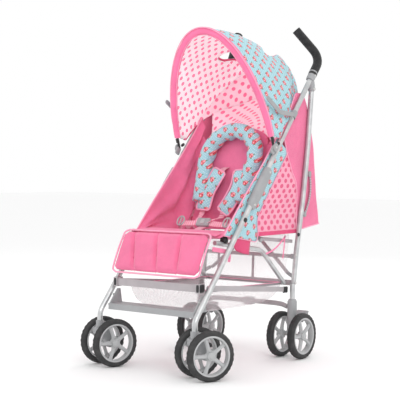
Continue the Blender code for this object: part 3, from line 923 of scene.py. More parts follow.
def hood_panel(name, angles, proud, material, vent=False):
    """A gore of the hood with taut ripples that run from the pivots, and the vent cut out of it."""
    columns, rows = 73, 49 if vent else 13

    def params(u, v):
        across = lerp(HOOD_TIP, math.pi - HOOD_TIP, u)
        last = rear_edge(across) if angles[1] is None else angles[1]
        return across, lerp(angles[0], last, v)

    def place(across, angle):
        share = math.sin(across)
        phase = math.radians(angle) * 26 + 2.2 * math.cos(across)
        ripple = 0.0022 * math.sin(phase) * share * (1.1 - share)
        at = hood_point(across, angle, proud + ripple)
        return at + Vector((0, 0, soft_offset(at, 0.06, 0.0018)))

    grid = [params(j / (columns - 1), i / (rows - 1)) for i in range(rows) for j in range(columns)]
    faces = grid_faces(rows, columns)
    if vent:
        faces = [f for f in faces if min(in_vent(*grid[k]) for k in f) > 0.999 or
                 sum(in_vent(*grid[k]) for k in f) / 4 > 1.0]
        used = {k for f in faces for k in f}
        for k in used:
            value = in_vent(*grid[k])
            if value < 1.0:
                across, angle = grid[k]
                moved = math.radians(VENT[0] + (math.degrees(across) - VENT[0]) / value)
                grid[k] = (moved, vent_middle(moved) + (angle - vent_middle(across)) / value)
    points = [place(*g) for g in grid]
    flat = spread_gore(points, rows, columns)
    if vent:
        order = sorted(used)
        index = {k: n for n, k in enumerate(order)}
        faces = [tuple(index[k] for k in f) for f in faces]
        points = [points[k] for k in order]
        flat = [flat[k] for k in order]
    return turn_with_hood(make(name, points, faces, material, None, flat, 60, CLOTH_THICK))


def turn_with_hood(obj):
    """Bakes a piece's place into its mesh; the piece is not bent with the hood."""
    start, end = (hood_point(math.pi / 2, a) + ORIGIN for a in (42.0, HOOD_FRONT))
    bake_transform(obj)
    return obj


def hood_line(angle, proud, tip=HOOD_TIP, steps=64):
    """A line over the dome, where angle gives the angle from the share of the way across."""
    acrosses = [lerp(tip, math.pi - tip, i / steps) for i in range(steps + 1)]
    return [hood_point(across, angle(across), proud) for across in acrosses]


def keep_inside_stays(obj):
    """Presses a piece in so that it passes inside the stays' links when the hood turns."""
    for v in obj.data.vertices:
        x = v.co.x - ORIGIN.x
        past = max(abs(x) - STAY_INSIDE, 0)
        v.co.x = ORIGIN.x + math.copysign(min(abs(x), STAY_INSIDE + 0.1 * past), x)


def vent_outline(steps=72):
    """The vent's edge, once round."""
    outline = []
    for k in range(steps + 1):
        a = math.tau * k / steps
        x = math.copysign(abs(math.cos(a)) ** (2 / 3.0), math.cos(a))
        y = math.copysign(abs(math.sin(a)) ** (2 / 2.5), math.sin(a))
        across = math.radians(VENT[0] + VENT[2] * x)
        outline.append(hood_point(across, vent_middle(across) + VENT[3] * y))
    return outline


def hood():
    ahead, behind = (HOOD_FRONT, HOOD_SEAM), (HOOD_SEAM, None)
    front = hood_panel("hood_outer_front", ahead, 0.004, FLORAL, vent=True)
    rear = hood_panel("hood_outer_rear", behind, 0.004, FLORAL)
    lining = hood_panel("hood_lining_front", ahead, -0.004, LINING, vent=True)
    rear_lining = hood_panel("hood_lining_rear", behind, -0.004, PINK_LIT_LINING)
    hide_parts("canopy_front")
    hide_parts("canopy_rear")
    for obj in (front, rear, lining, rear_lining):
        cloth_sheet(obj)

    lean = math.radians(HOOD_FRONT)
    band = sweep("hood_front_band", hood_line(lambda a: HOOD_FRONT - 0.5, -0.0005, steps=90),
                 round_section(0.0120, 16, 0.0086), BAND_CLOTH, None,
                 facing=(0, -math.sin(lean), math.cos(lean)))
    for v in band.data.vertices:
        v.co += Vector((0, soft_offset(v.co, 0.035, 0.0016), soft_offset(v.co, 0.03, 0.0014, 2)))
    keep_inside_stays(band)
    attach(band, "hood_front")
    for place, ahead, proud, radius in (("outer", 0.6, 0.0115, 0.0019), ("inner", 0.4, -0.0125, 0.0013)):
        line = hood_line(lambda a: HOOD_FRONT + ahead, proud, steps=80)
        keep_inside_stays(tube(f"hood_band_piping_{place}", line, radius, PIPING, "hood_front", 8))
    seam, rear_line = hood_line(lambda a: HOOD_SEAM, 0.0045), hood_line(rear_edge, 0.001)
    turn_with_hood(tube("hood_seam_piping", seam, 0.0016, FLORAL, None, 8, slot="pink_fabric"))
    turn_with_hood(tube("hood_rear_piping", rear_line, 0.0032, DEEP_PINK, None, 8))
    turn_with_hood(tube("vent_piping", vent_outline(), 0.0036, DEEP_PINK, None, 8, closed=True))
    ribbon = []
    for t in np.linspace(0, 1, 9):
        across, angle = math.radians(lerp(104, 111, t)), lerp(VENT[1] + 14, VENT[1] - 7, t)
        ribbon.append(hood_point(across, angle, -0.009 - 0.004 * math.sin(math.pi * t)))
    turn_with_hood(strap("vent_strap", ribbon, 0.022, STRAP_GREY, None, (0, -0.5, 0.85)))
    rear_bow = hood_line(lambda a: 44.0, 0.0, math.radians(6.0), 60)
    tube("hood_rear_bow", rear_bow, 0.0032, DEEP_PINK, "frame", 10)



hood()

# --- Seat ---

SEAT_FRONT = (0.085, 0.413)  # y and z of the seat's front edge
SEAT_REAR = (BACK_HINGE.y - 0.010, 0.398)
SEAT_HALF = 0.138
BACK_HALF = 0.127
BACK_TOP = 0.378
BACK_CORNER = 0.075  # how much lower the backrest's top is at its sides
CALF_HALF = 0.166
CALF_TOP = Vector((0, 0.086, 0.410))
CALF_FOOT = Vector((0, 0.023, 0.285))
CALF_SEAMS = ((0.13, 0.27), (0.40, 0.53), (0.68, 0.76))  # share of the width at the top and the foot
GUSSET_EDGE = ((0.388, 0.530), (0.53, 0.530), (0.56, 0.524), (0.60, 0.496), (0.66, 0.466), (0.712, 0.447),
               (0.755, 0.455), (0.80, 0.492), (0.86, 0.524))
COVER_BACK = ((0.388, 0.676), (0.53, 0.650), (0.65, 0.636), (0.75, 0.613), (0.80, 0.592), (0.86, 0.556))
COVER_LOW, COVER_TOP = 0.403, 0.846
PANEL_X = 0.1706


def rounded_square(u, v, width, length, radius):
    """Moves a point of the unit square into one with rounded corners; gives it centred, in metres."""
    x, y = (u - 0.5) * width, (v - 0.5) * length
    past = abs(y) - (length / 2 - radius)
    if past > 0:
        x *= (width / 2 - radius + math.sqrt(max(radius ** 2 - past ** 2, 0))) / (width / 2)
    return x, y


def wing_edge(sign, v):
    """A side wing's outer edge, just in front of the front tube."""
    z = lerp(0.402, 0.772, v)
    return Vector((sign * 0.1690, tube_y(z) - lerp(0.044, 0.014, smooth(v * 1.15)), z))


def wing_foot(sign, v):
    """A side wing's inner edge, along the seat and then up the backrest."""
    turn = 0.42
    if v < turn:
        y, z = (lerp(front, rear, v / turn) for front, rear in zip(SEAT_FRONT, SEAT_REAR))
        return Vector((sign * SEAT_HALF, y, z))
    x = sign * lerp(SEAT_HALF, 0.117, smooth((v - turn) * 6))
    return on_back(x, lerp(0, BACK_TOP - BACK_CORNER, (v - turn) / (1 - turn)), 0.002)


def wing(side, sign):
    """The seat's side: cloth that hangs from the front tube to the seat and the backrest."""
    def place(u, v):
        hang = math.sin(math.pi * u)
        at = wing_edge(sign, v).lerp(wing_foot(sign, v), u)
        fold = 0.0095 * math.sin(9.5 * u + 2.5 * v + 0.4) + 0.0045 * math.sin(20 * u - 7.0 * v)
        at += Vector((sign * 0.006, 0.004, -0.010)) * hang
        at.x += sign * fold * hang + soft_offset(at, 0.045, 0.0050, 3) * hang
        at.x = sign * min(sign * at.x, 0.1676)
        return at

    obj = panel(f"seat_wing_{side}", 56, 17, place, PINK_CLOTH, "frame")
    cloth_sheet(obj)
    shift = Vector((sign * 0.001, -0.001, 0))
    edge = curve_through([wing_edge(sign, k / 12) + shift for k in range(13)], 4)
    tube(f"wing_piping_{side}", edge, 0.0024, PIPING, "frame", 8)


def side_panels(side, sign):
    """Outside the seat: the floral strip inside the front tube, and the dotted panel behind it."""
    def strip_front(v):
        return wing_edge(sign, v * 0.80) + Vector((sign * 0.0014, 0.002, 0))

    def strip_rear(v):
        z = lerp(0.378, 0.655, v)
        return Vector((sign * PANEL_X, lerp(tube_y(z) + 0.139, tube_y(z) + 0.084, smooth(v * 3.2)), z))

    def strip(u, v):
        at = strip_front(v).lerp(strip_rear(v), u)
        at.x += sign * 0.0012 * math.sin(math.pi * u) * math.sin(14 * v)
        return at

    floral = panel(f"side_strip_{side}", 40, 9, strip, FLORAL, "frame")
    cloth_sheet(floral)

    def dots(u, v):
        z = lerp(0.402, 0.655, v)
        rear = Vector((sign * PANEL_X, along(GUSSET_EDGE, z) + 0.004, z))
        at = strip_rear(lerp(0.08, 1, v)).lerp(rear, u)
        at.x += sign * 0.0016 * math.sin(9 * v + 5 * u) * math.sin(math.pi * u)
        return at

    dotted_panel = panel(f"side_dotted_{side}", 36, 17, dots, PANEL, "frame")
    cloth_sheet(dotted_panel)
    for entry in dotted_panel.data.attributes["flat"].data:
        entry.vector.x *= 0.80  # the print's dots are a little wider than high
    hem = [dots(k / 12, 0) + Vector((sign * 0.001, 0, 0.0)) for k in range(13)]
    strap(f"side_hem_{side}", hem, 0.0125, DEEP_PINK, "frame", (sign, 0, 0), 0.003)
    rim = [strip_front(0), *(strip(k / 5, 0) for k in range(1, 6))]
    rim += [strip_rear(k / 20) + Vector((sign * 0.0012, 0, 0)) for k in range(1, 21)]
    tube(f"strip_piping_{side}", curve_through(rim, 3), 0.0016, PIPING, "frame", 8)


def follow_fold(obj, start, end):
    """Bakes a piece's place into its mesh; the piece is not bent with the fold."""
    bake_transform(obj)
    return obj


def rear_cover():
    """The cloth behind the seat: two side gussets, and a wall that meets the hood's rear edge."""
    def place(u, v):
        z = lerp(COVER_LOW, COVER_TOP, v)
        corner = along(COVER_BACK, z)
        if 0.3 <= u <= 0.7:
            x = lerp(0.170, -0.170, (u - 0.3) / 0.4)
            z += 0.018 * (1 - v)
            swell = (1 - (x / 0.170) ** 2) * (0.012 + 0.125 * v ** 3)
            at = Vector((x, corner + swell, z + 0.012 * (1 - (x / 0.170) ** 2) * v))
        else:
            share = min(u, 1 - u) / 0.3
            z += 0.018 * share * (1 - v)
            at = Vector((0.1716 if u < 0.5 else -0.1716, lerp(along(GUSSET_EDGE, z), corner, share), z))
        crease = 0.0035 * math.sin(30 * u + 3 * v) * math.sin(math.pi * v)
        at.y += crease if 0.3 < u < 0.7 else 0
        at.y = min(at.y + soft_offset(at, 0.07, 0.003, 5), 0.700)
        return at

    def swing(piece):
        follow_fold(piece, (0, 0.6, 0.80), (0, 0.6, 0.39))

    obj = panel("rear_cover_cloth", 41, 61, place, PINK_CLOTH, None, levels=1)
    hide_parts("rear_cover")
    swing(obj)
    cloth_sheet(obj)
    for side, sign in SIDES:
        edge = [Vector((sign * 0.1722, along(GUSSET_EDGE, z), z)) for z in np.linspace(COVER_LOW, 0.84, 40)]
        swing(tube(f"gusset_piping_{side}", edge, 0.0020, PIPING, None, 8))
    hem = [place(u, 0.004) for u in np.linspace(0, 1, 81)]
    swing(tube("rear_cover_hem", hem, 0.0022, PIPING, None, 8))


def flatten_seam(at, middle, normal, distance, width, depth):
    """Presses a pad's two faces together near a seam."""
    off = (at - middle).dot(normal)
    return at - normal * off * depth * math.exp(-(distance / width) ** 2)


def calf_rest():
    """The pad under the calves, with three sewn channels and a piped rim."""
    down = CALF_FOOT - CALF_TOP
    length = down.length
    down.normalize()
    normal = Vector((0, down.z, -down.y))
    middle = (CALF_TOP + CALF_FOOT) / 2

    def sheet_at(u, v, inset=0.0):
        x, y = rounded_square(u, v, 2 * CALF_HALF - 2 * inset, length - 2 * inset, 0.016)
        bow = 0.004 * math.cos(math.pi * y / length)
        return middle + down * y + Vector((x, 0, 0)) + normal * bow

    pad = block("calf_pad", 14, 36, lambda u, v: sheet_at(u, v, 0.0005),
                lambda u, v: 0.0075 + 0.002 * math.sin(math.pi * u), PINK_CLOTH)
    puff(pad, 0.005, 4.0, 0.007)

    def seams(at):
        v = (at - middle).dot(down) / length + 0.5
        for top, foot in CALF_SEAMS:
            x = lerp(-CALF_HALF, CALF_HALF, lerp(top, foot, v))
            at = flatten_seam(at, middle + normal * 0.003, normal, abs(at.x - x), 0.0045, 0.95)
        return at

    finish_pad(pad, PINK_CLOTH, "frame", lambda p: (p.x, (p - middle).dot(down)), seams)
    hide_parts("calf_rest")
    for k, (top, foot) in enumerate(CALF_SEAMS):
        line = [sheet_at(lerp(top, foot, v), v) + normal * 0.0030 for v in np.linspace(0.03, 0.97, 30)]
        tube(f"calf_stitch_{k}", line, 0.0007, DEEP_PINK, "frame", 6)
    tube("calf_piping", rim_of(sheet_at), 0.0028, PIPING, "frame", 10, closed=True)


def rim_of(place, steps=24):
    """The outline of a sheet, once round, ending where it starts."""
    ends = [(k / steps, 0) for k in range(steps)] + [(1, k / steps) for k in range(steps)]
    ends += [(1 - k / steps, 1) for k in range(steps)] + [(0, 1 - k / steps) for k in range(steps)]
    line = [place(u, v) for u, v in [*ends, (0, 0)]]
    kept = [line[0]]
    for p in line[1:]:
        if (p - kept[-1]).length > 0.0015:
            kept.append(p)
    kept[-1] = line[0]
    return kept


def seat_pad():
    rear, front = Vector((0, *SEAT_REAR)), Vector((0, *SEAT_FRONT))
    run = (rear - front).normalized()
    normal = Vector((0, -run.z, run.y))

    def place(u, v):
        x, y = rounded_square(u, v, 2 * SEAT_HALF, (rear - front).length, 0.012)
        return (rear + front) / 2 + run * y + Vector((x, 0, 0)) - normal * 0.006

    pad = block("seat_pad", 16, 18, place, lambda u, v: 0.012, PINK_CLOTH)
    puff(pad, 0.006, 4.0, 0.007)
    finish_pad(pad, PINK_CLOTH, "frame", lambda p: (p.x, p.y))
    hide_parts("seat_liner")


def back_crown(x):
    """The backrest's height at x: its top is an arch."""
    return BACK_TOP - BACK_CORNER * (1 - math.sqrt(max(1 - (x / BACK_HALF) ** 2, 0)))


def back_pad():
    def place(u, v):
        x, y = rounded_square(u, v, 2 * BACK_HALF - 0.002, BACK_TOP - 0.014, 0.022)
        return on_back(x, 0.012 + ((BACK_TOP - 0.014) / 2 + y) * back_crown(x) / BACK_TOP, -0.009)

    pad = block("back_pad", 22, 16, place, lambda u, v: 0.013, PINK_CLOTH)
    puff(pad, 0.006, 4.0, 0.007)
    finish_pad(pad, PINK_CLOTH, "backrest", lambda p: (p.x, (p - BACK_HINGE).dot(BACK_UP)))
    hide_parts("backrest")


HUGGER_X = 0.0945
HUGGER_R = 0.0300
HUGGER_MIDDLE = 0.005
HUGGER_TOP = 0.342
HUGGER_LOW = 0.096
HUGGER_PROUD = 0.0300


def hugger_line(steps=44):
    """The head hugger's middle line: up one side, over a round arch, and down the other."""
    arch = HUGGER_X
    leg = HUGGER_TOP - arch - HUGGER_LOW
    total = 2 * leg + math.pi * arch
    points = []
    for k in range(steps + 1):
        run = total * k / steps
        if run < leg:
            x, h = arch - 0.012 * smooth(1 - run / leg), HUGGER_LOW + run
        elif run < leg + math.pi * arch:
            a = (run - leg) / arch
            x, h = arch * math.cos(a), HUGGER_LOW + leg + arch * math.sin(a)
        else:
            rest = total - run
            x, h = -arch + 0.012 * smooth(1 - rest / leg), HUGGER_LOW + rest
        points.append(on_back(x + HUGGER_MIDDLE, h, HUGGER_PROUD))
    return points


def head_hugger():
    """A stuffed roll; its cloth gathers on the inside of the arch."""
    line = hugger_line()
    pad = tube("hugger", line, HUGGER_R - 0.004, FLORAL, None, 14)
    puff(pad, 0.006, 4.5, 0.005)
    centre = HUGGER_TOP - HUGGER_X

    def gather(at):
        height, x = (at - BACK_HINGE).dot(BACK_UP), at.x - HUGGER_MIDDLE
        out = (at - BACK_HINGE).dot(BACK_OUT) - HUGGER_PROUD
        angle = math.atan2(height - centre, x)
        reach = math.hypot(x, height - centre) - HUGGER_X
        if height < centre - 0.05:
            return at + BACK_OUT * soft_offset(at, 0.03, 0.002, 4)
        inside = smooth((0.012 - reach) / 0.03)
        pleat = 0.0030 * math.sin(angle * 11) * inside + soft_offset(at, 0.024, 0.0022, 6)
        push = (BACK_OUT * out + (Vector((x, 0, 0)) + BACK_UP * (height - centre)).normalized() * reach)
        return at + push.normalized() * pleat

    def lie(at):
        up, out = (at - BACK_HINGE).dot(BACK_UP), (at - BACK_HINGE).dot(BACK_OUT)
        return at.x * 1.15, up * 1.1 + out

    finish_pad(pad, FLORAL, "backrest", lie, gather)
    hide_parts("head_hugger")


seat_pad()
back_pad()
head_hugger()
calf_rest()
for _side, _sign in SIDES:
    wing(_side, _sign)
    side_panels(_side, _sign)
rear_cover()


# --- Harness ---

BUCKLE = Vector((0, 0.264, 0.430))
PADS = (
    ("near", ((0.062, 0.204), (0.062, 0.150), (0.046, 0.100), (0.026, 0.062))),
    ("far", ((-0.020, 0.204), (-0.036, 0.166), (-0.050, 0.126), (-0.054, 0.068))),
)


def shoulder_pad(name, steps):
    """A stuffed pad on the shoulder strap, piped round its edge, and the strap from it to the buckle."""
    middle = curve_through([(x, height, 0) for x, height in steps], 8)
    ways = directions(middle)

    def place(u, v, proud=0.036):
        k = min(v, 0.9999) * (len(middle) - 1)
        i = int(k)
        at = middle[i].lerp(middle[i + 1], k - i)
        across = ways[i].cross(Vector((0, 0, 1)))
        near_end = min(v, 1 - v) * 0.17
        half = 0.0270 - (0.006 * (1 - near_end / 0.008) ** 2 if near_end < 0.008 else 0)
        at = at + across * (2 * u - 1) * half
        return on_back(at.x, at.y, proud - 0.004 * (2 * u - 1) ** 2)

    pad = block(f"shoulder_pad_{name}", 26, 10, place, lambda u, v: 0.008, FLORAL)
    puff(pad, 0.004, 4.0, 0.0045)
    finish_pad(pad, FLORAL, "backrest",
               lambda p: (p.x + 0.013, (p - BACK_HINGE).dot(BACK_UP) + 0.006))
    edge = rim_of(lambda u, v: place(u, v, 0.0395))
    tube(f"shoulder_piping_{name}", edge, 0.0028, PIPING, "backrest", 8, closed=True)
    x, height = steps[0]
    top = [on_back(x, height + up, proud) for up, proud in ((-0.012, 0.034), (0.008, 0.022), (0.022, 0.002))]
    strap(f"shoulder_strap_top_{name}", curve_through(top, 4), 0.024, STRAP, "backrest", BACK_OUT)
    x, height = steps[-1]
    side = 1 if x > 0 else -1
    low = [on_back(x, height + 0.012, 0.034), on_back(x, height - 0.016, 0.036),
           BUCKLE + Vector((side * 0.030, 0.012, 0.012)), BUCKLE + Vector((side * 0.012, 0, 0.002))]
    lower = strap(f"shoulder_strap_low_{name}", curve_through(low, 6), 0.021, STRAP, None, (0, -0.7, 0.7))
    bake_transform(lower)


def lump(name, a, b, width, thickness, facing, material, body, corner=0.3, bulge=0.0):
    """A moulded block from a to b with rounded edges, narrower at its ends."""
    c = corner * min(width, thickness)
    section = []
    for cx, cy, start in ((1, 1, 0), (-1, 1, 1), (-1, -1, 2), (1, -1, 3)):
        for k in range(4):
            t = math.pi / 2 * (start + k / 3)
            side, out = cx * (width / 2 - c), cy * (thickness / 2 - c)
            section.append((side + c * math.cos(t), out + c * math.sin(t)))
    a, b = Vector(a), Vector(b)
    length = (b - a).length
    rounding = min(c / length, 0.3)
    shares = [0, rounding * 0.3, rounding, 0.25, 0.5, 0.75, 1 - rounding, 1 - rounding * 0.3, 1]

    def size(share):
        past = max(rounding - min(share, 1 - share), 0) / rounding
        lost = 1 - c * (1 - math.sqrt(max(1 - past ** 2, 0))) / (min(width, thickness) / 2)
        more = 1 + bulge * math.sin(math.pi * share)
        return lost * more, lost * more

    line = [a.lerp(b, s) for s in shares]
    sizes = iter([size(s) for s in shares])
    return sweep(name, line, section, material, body, facing, lambda share: next(sizes), sharp=40)


def harness():
    for name, steps in PADS:
        shoulder_pad(name, steps)
    up = Vector((0, -0.80, 0.60))
    press = BUCKLE + Vector((0, -0.005, 0.004))
    lump("buckle", BUCKLE + Vector((-0.026, 0, 0.002)), BUCKLE + Vector((0.024, 0, 0.002)), 0.030, 0.012, up,
         GREY, "frame", 0.35)
    lump("buckle_press", press - Vector((0.009, 0, 0)), press + Vector((0.008, 0, 0)), 0.018, 0.008, up, RIM,
         "frame", 0.4)
    crotch = [BUCKLE + Vector((0, -0.002, -0.010)), BUCKLE + Vector((0, -0.014, -0.014)), (0, 0.236, 0.4125),
              (0, 0.220, 0.4065)]
    strap("crotch_strap", curve_through(crotch), 0.026, STRAP, "frame", (0, -0.5, 0.8))
    for side, sign in SIDES:
        waist = [BUCKLE + Vector((sign * 0.014, 0.002, 0.001)), Vector((sign * 0.050, 0.258, 0.4285)),
                 Vector((sign * 0.090, 0.264, 0.4265)), Vector((sign * 0.118, 0.296, 0.4185)),
                 Vector((sign * 0.134, 0.318, 0.404))]
        strap(f"waist_strap_{side}", curve_through(waist, 6), 0.019, STRAP, "frame", (0, -0.8, 0.6))
        slider = []
        for t in np.linspace(0, math.tau, 29):
            slider.append(Vector((sign * 0.090 + 0.013 * math.cos(t), 0.262 + 0.008 * math.sin(t),
                                  0.4345 + 0.014 * math.sin(t))))
        tube(f"waist_slider_{side}", slider, 0.0026, RIM, "frame", 8, closed=True)
        low, high = (sign * 0.090, 0.2545, 0.4215), (sign * 0.090, 0.2695, 0.4475)
        lump(f"waist_slider_bar_{side}", low, high, 0.004, 0.003, (0, 0, 1), RIM, "frame")


# --- Hood's curtain, basket ---

def hood_curtain():
    """The lining that goes on behind the backrest's top, from the hood's rear edge."""
    def place(u, v):
        across = lerp(0.16 * math.pi, 0.84 * math.pi, u)
        top = hood_point(across, rear_edge(across) + 1.5, -0.0055)
        x = 0.124 * math.cos(across) / math.cos(0.16 * math.pi)
        foot = on_back(x, back_crown(x) - 0.012, -0.016)
        at = top.lerp(foot, v)
        return at + Vector((0, 0.008, -0.006)) * math.sin(math.pi * v) * math.sin(across)

    points = [place(j / 40, i / 12) for i in range(13) for j in range(41)]
    curtain = make("hood_curtain", points, grid_faces(13, 41), PINK_LIT_LINING, None,
                   spread_gore(points, 13, 41), 60, CLOTH_THICK)
    start, end = hood_point(math.pi / 2, 40) + ORIGIN, on_back(0, BACK_TOP, 0) + ORIGIN
    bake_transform(curtain)
    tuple(start)
    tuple(end)
    cloth_sheet(curtain)


BASKET_HALF, BASKET_FRONT, BASKET_REAR = 0.146, 0.087, 0.480
BASKET_FLOOR = 0.168


def basket_rim(y):
    return lerp(0.243, 0.237, (y - BASKET_FRONT) / (BASKET_REAR - BASKET_FRONT))


def basket_point(s, t):
    """A point of the net tray: s across and t along, both -1 to 1, with the rim at the ends."""
    def spread(k):
        return math.copysign(1 - (1 - min(abs(k), 1)) ** 1.7, k)

    x = BASKET_HALF * spread(s)
    y = lerp(BASKET_FRONT, BASKET_REAR, (spread(t) + 1) / 2)
    rise = max(abs(s), abs(t)) ** 5
    low = BASKET_FLOOR + 0.010 * (abs(s) ** 2 + abs(t) ** 2) / 2
    at = Vector((x * lerp(0.93, 1, rise), y, lerp(low, basket_rim(y), rise)))
    at.z += soft_offset(at, 0.07, 0.004, 9) * (1 - rise)
    return at


def basket():
    ends = ((0, BASKET_FRONT, 0.24), (0, BASKET_REAR, 0.24))
    net = panel("basket_net", 41, 37, lambda u, v: basket_point(2 * u - 1, 2 * v - 1), NET, None,
                thick=0.0006)
    follow_fold(net, *ends)
    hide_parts("basket")
    cloth_sheet(net)
    front = [(lerp(-1, 1, k / 20), -1) for k in range(20)]
    left = [(1, lerp(-1, 1, k / 30)) for k in range(30)]
    rear = [(lerp(1, -1, k / 20), 1) for k in range(20)]
    right = [(-1, lerp(1, -1, k / 30)) for k in range(31)]
    rim = [basket_point(s, t) for s, t in [*front, *left, *rear, *right]]
    low, high = ([p + Vector((0, 0, rise)) for p in rim] for rise in (-0.002, 0.0022))
    band = sweep("basket_band", low, strap_section(0.002, 0.007), MAUVE, None, (0, 0, 1), closed=True)
    trim = tube("basket_trim", high, 0.0014, PIPING, None, 8, closed=True)
    follow_fold(band, *ends)
    follow_fold(trim, *ends)
    for name, z, width in (("basket_rear_band", 0.237, 0.018), ("basket_top_band", 0.322, 0.012)):
        shares = np.linspace(0, 1, 17)
        line = [(lerp(0.172, -0.172, t), 0.5075 + 0.001 * math.sin(math.pi * t), z) for t in shares]
        strap(name, line, width, MAUVE, "rear_frame", (0, 1, 0), 0.003)

    def rear_wall(u, v):
        y = lerp(0.4835, 0.512, v) + 0.003 * math.sin(9 * u + 4 * v)
        return Vector((lerp(0.158, -0.158, u), y, lerp(0.238, 0.392, v)))

    wall = panel("basket_wall", 17, 25, rear_wall, NET, None, thick=0.0006)
    follow_fold(wall, (0, 0.5, 0.392), (0, 0.5, 0.240))
    cloth_sheet(wall)
    for k, x in enumerate((0.020, -0.120)):
        hanger = [(x, 0.508, 0.326), (x, 0.507, 0.285), (x, 0.5055, 0.232)]
        strap(f"basket_hanger_{k}", curve_through(hanger, 4), 0.010, MAUVE, "rear_frame", (0, 1, 0))


# --- Fittings ---

def housing_place(z):
    """A rivet's place on the outer face of the front tube's grey housing."""
    return TUBE_X + 0.012, tube_y(z) + HOUSING_BACK, z


OUT, BACK, UP = (1, 0, 0), (0, 1, 0), (0, 0, 1)  # x is outwards in this section's lists
LEG_FACE = TUBE_X + TUBE_R
HOUSING_BACK = 0.006  # how far behind the front tube's axis its grey housing sits
BLOCKS = (  # name, start, end, width, thickness, facing, material, body, corner
    ("brace_end", (0.153, 0.5065, 0.27), (0.176, 0.504, 0.258), 0.012, 0.005, BACK, GREY, "rear_frame", 0.4),
    ("top_band_end", (0.166, 0.507, 0.322), (0.18, 0.505, 0.322), 0.016, 0.006, BACK, GREY, "rear_frame",
     0.4),
    ("rail_plug", (0.157, 0.146, 0.389), (0.157, 0.168, 0.3865), 0.021, 0.02, OUT, BLACK, "seat_rail_{}",
     0.35),
    ("side_bar_plug", (0.168, 0.462, 0.218), (0.168, 0.486, 0.217), 0.02, 0.007, OUT, BLACK,
     "side_bar_{}", 0.35),
    ("crossbar_plug", (0.15, 0.042, 0.254), (0.1655, 0.042, 0.254), 0.0285, 0.0285, UP, BLACK, "frame", 0.25),
)
RIVETS = (  # name, place, body, radius, material, rise
    ("tube_housing_rivet_{}_0", housing_place(0.492), "frame", 0.0042, STEEL, 0.0022),
    ("tube_housing_rivet_{}_1", housing_place(0.590), "frame", 0.0042, STEEL, 0.0022),
    ("tube_rivet_{}", (LEG_FACE - 0.0006, tube_y(0.386), 0.386), "frame", 0.0040, STEEL, 0.0022),
    ("leg_bolt_{}_328", (LEG_FACE, 0.501, 0.328), "rear_frame", 0.0050, STEEL, 0.004),
    ("leg_bolt_{}_238", (LEG_FACE, 0.501, 0.238), "rear_frame", 0.0050, STEEL, 0.004),
    ("leg_plug_{}", (LEG_FACE, 0.515, 0.392), "rear_frame", 0.0060, BLACK, 0.005),
    ("footrest_rivet_{}_0", (0.1645, 0.030, 0.215), "frame", 0.0036, STEEL, 0.0022),
    ("footrest_rivet_{}_1", (0.1645, 0.046, 0.196), "frame", 0.0036, STEEL, 0.0022),
)
LOOP = ((0.1708, 0.082, 0.366), (0.1722, 0.122, 0.360), (0.1722, 0.162, 0.353))
LOOP_END = ((0.1722, 0.160, 0.353), (0.1726, 0.164, 0.339), (0.1716, 0.162, 0.324))
STIFFENER = ((0.1600, 0.330, 0.386), (0.1600, 0.427, 0.3775), (0.1600, 0.524, 0.369))
TAPES = (  # name, points, width, material, thickness
    ("seat_loop", LOOP, 0.013, PINK_TAPE, 0.0016),
    ("seat_loop_end", LOOP_END, 0.012, PINK_TAPE, 0.0016),
    ("side_stiffener", STIFFENER, 0.011, MAUVE, 0.003),
)
RIBBONS = (((0.470, 0.389), (0.360, 0.338)), ((0.466, 0.389), (0.455, 0.318)))  # y and z at their ends
FLAP_LOW = curve_through(((0, 0.199, 0.356), (0, 0.236, 0.345), (0, 0.268, 0.340)))
FLAP_HIGH = curve_through(((0, 0.174, 0.392), (0, 0.225, 0.389), (0, 0.276, 0.384)))
KNOB = ((0, 0.006), (0.001, 0.0075), (0.006, 0.0075), (0.008, 0.006), (0.008, 0))
PIVOT_CAP = ((0, 0.012), (0.002, 0.0135), (0.0045, 0.0135), (0.0058, 0.011), (0.0062, 0.006), (0.0058, 0))
COLLAR_RING = ((-0.017, 0.0112), (-0.015, 0.0132), (-0.004, 0.0138), (0.012, 0.0138), (0.016, 0.0150),
               (0.019, 0.0142), (0.019, 0.0098))


def mirrored(sign, place):
    """A place whose x is outwards, on the side of sign."""
    return Vector((sign * place[0], place[1], place[2]))


def tube_at(sign, z, out=0.0, back=0.0):
    return Vector((sign * (TUBE_X + out), tube_y(z) + back, z))


def listed_fittings(side, sign):
    for name, start, end, width, thickness, facing, material, body, corner in BLOCKS:
        lump(f"{name}_{side}", mirrored(sign, start), mirrored(sign, end), width, thickness,
             mirrored(sign, facing), material, body.format(side), corner)
    for name, place, body, radius, material, rise in RIVETS:
        rivet(name.format(side), mirrored(sign, place), (sign, 0, 0), body, radius, material, rise)
    for name, points, width, material, thickness in TAPES:
        line = curve_through([mirrored(sign, p) for p in points], 4)
        strap(f"{name}_{side}", line, width, material, "frame", (sign, 0, 0), thickness)
    for k, (start, end) in enumerate(RIBBONS):
        line = []
        for t in np.linspace(0, 1, 9):
            sag = 0.010 * math.sin(math.pi * t)
            line.append(Vector((sign * 0.170, lerp(start[0], end[0], t), lerp(start[1], end[1], t) - sag)))
        strap(f"seat_ribbon_{side}_{k}", line, 0.006, PINK_TAPE, "frame", (sign, 0, 0), 0.001)


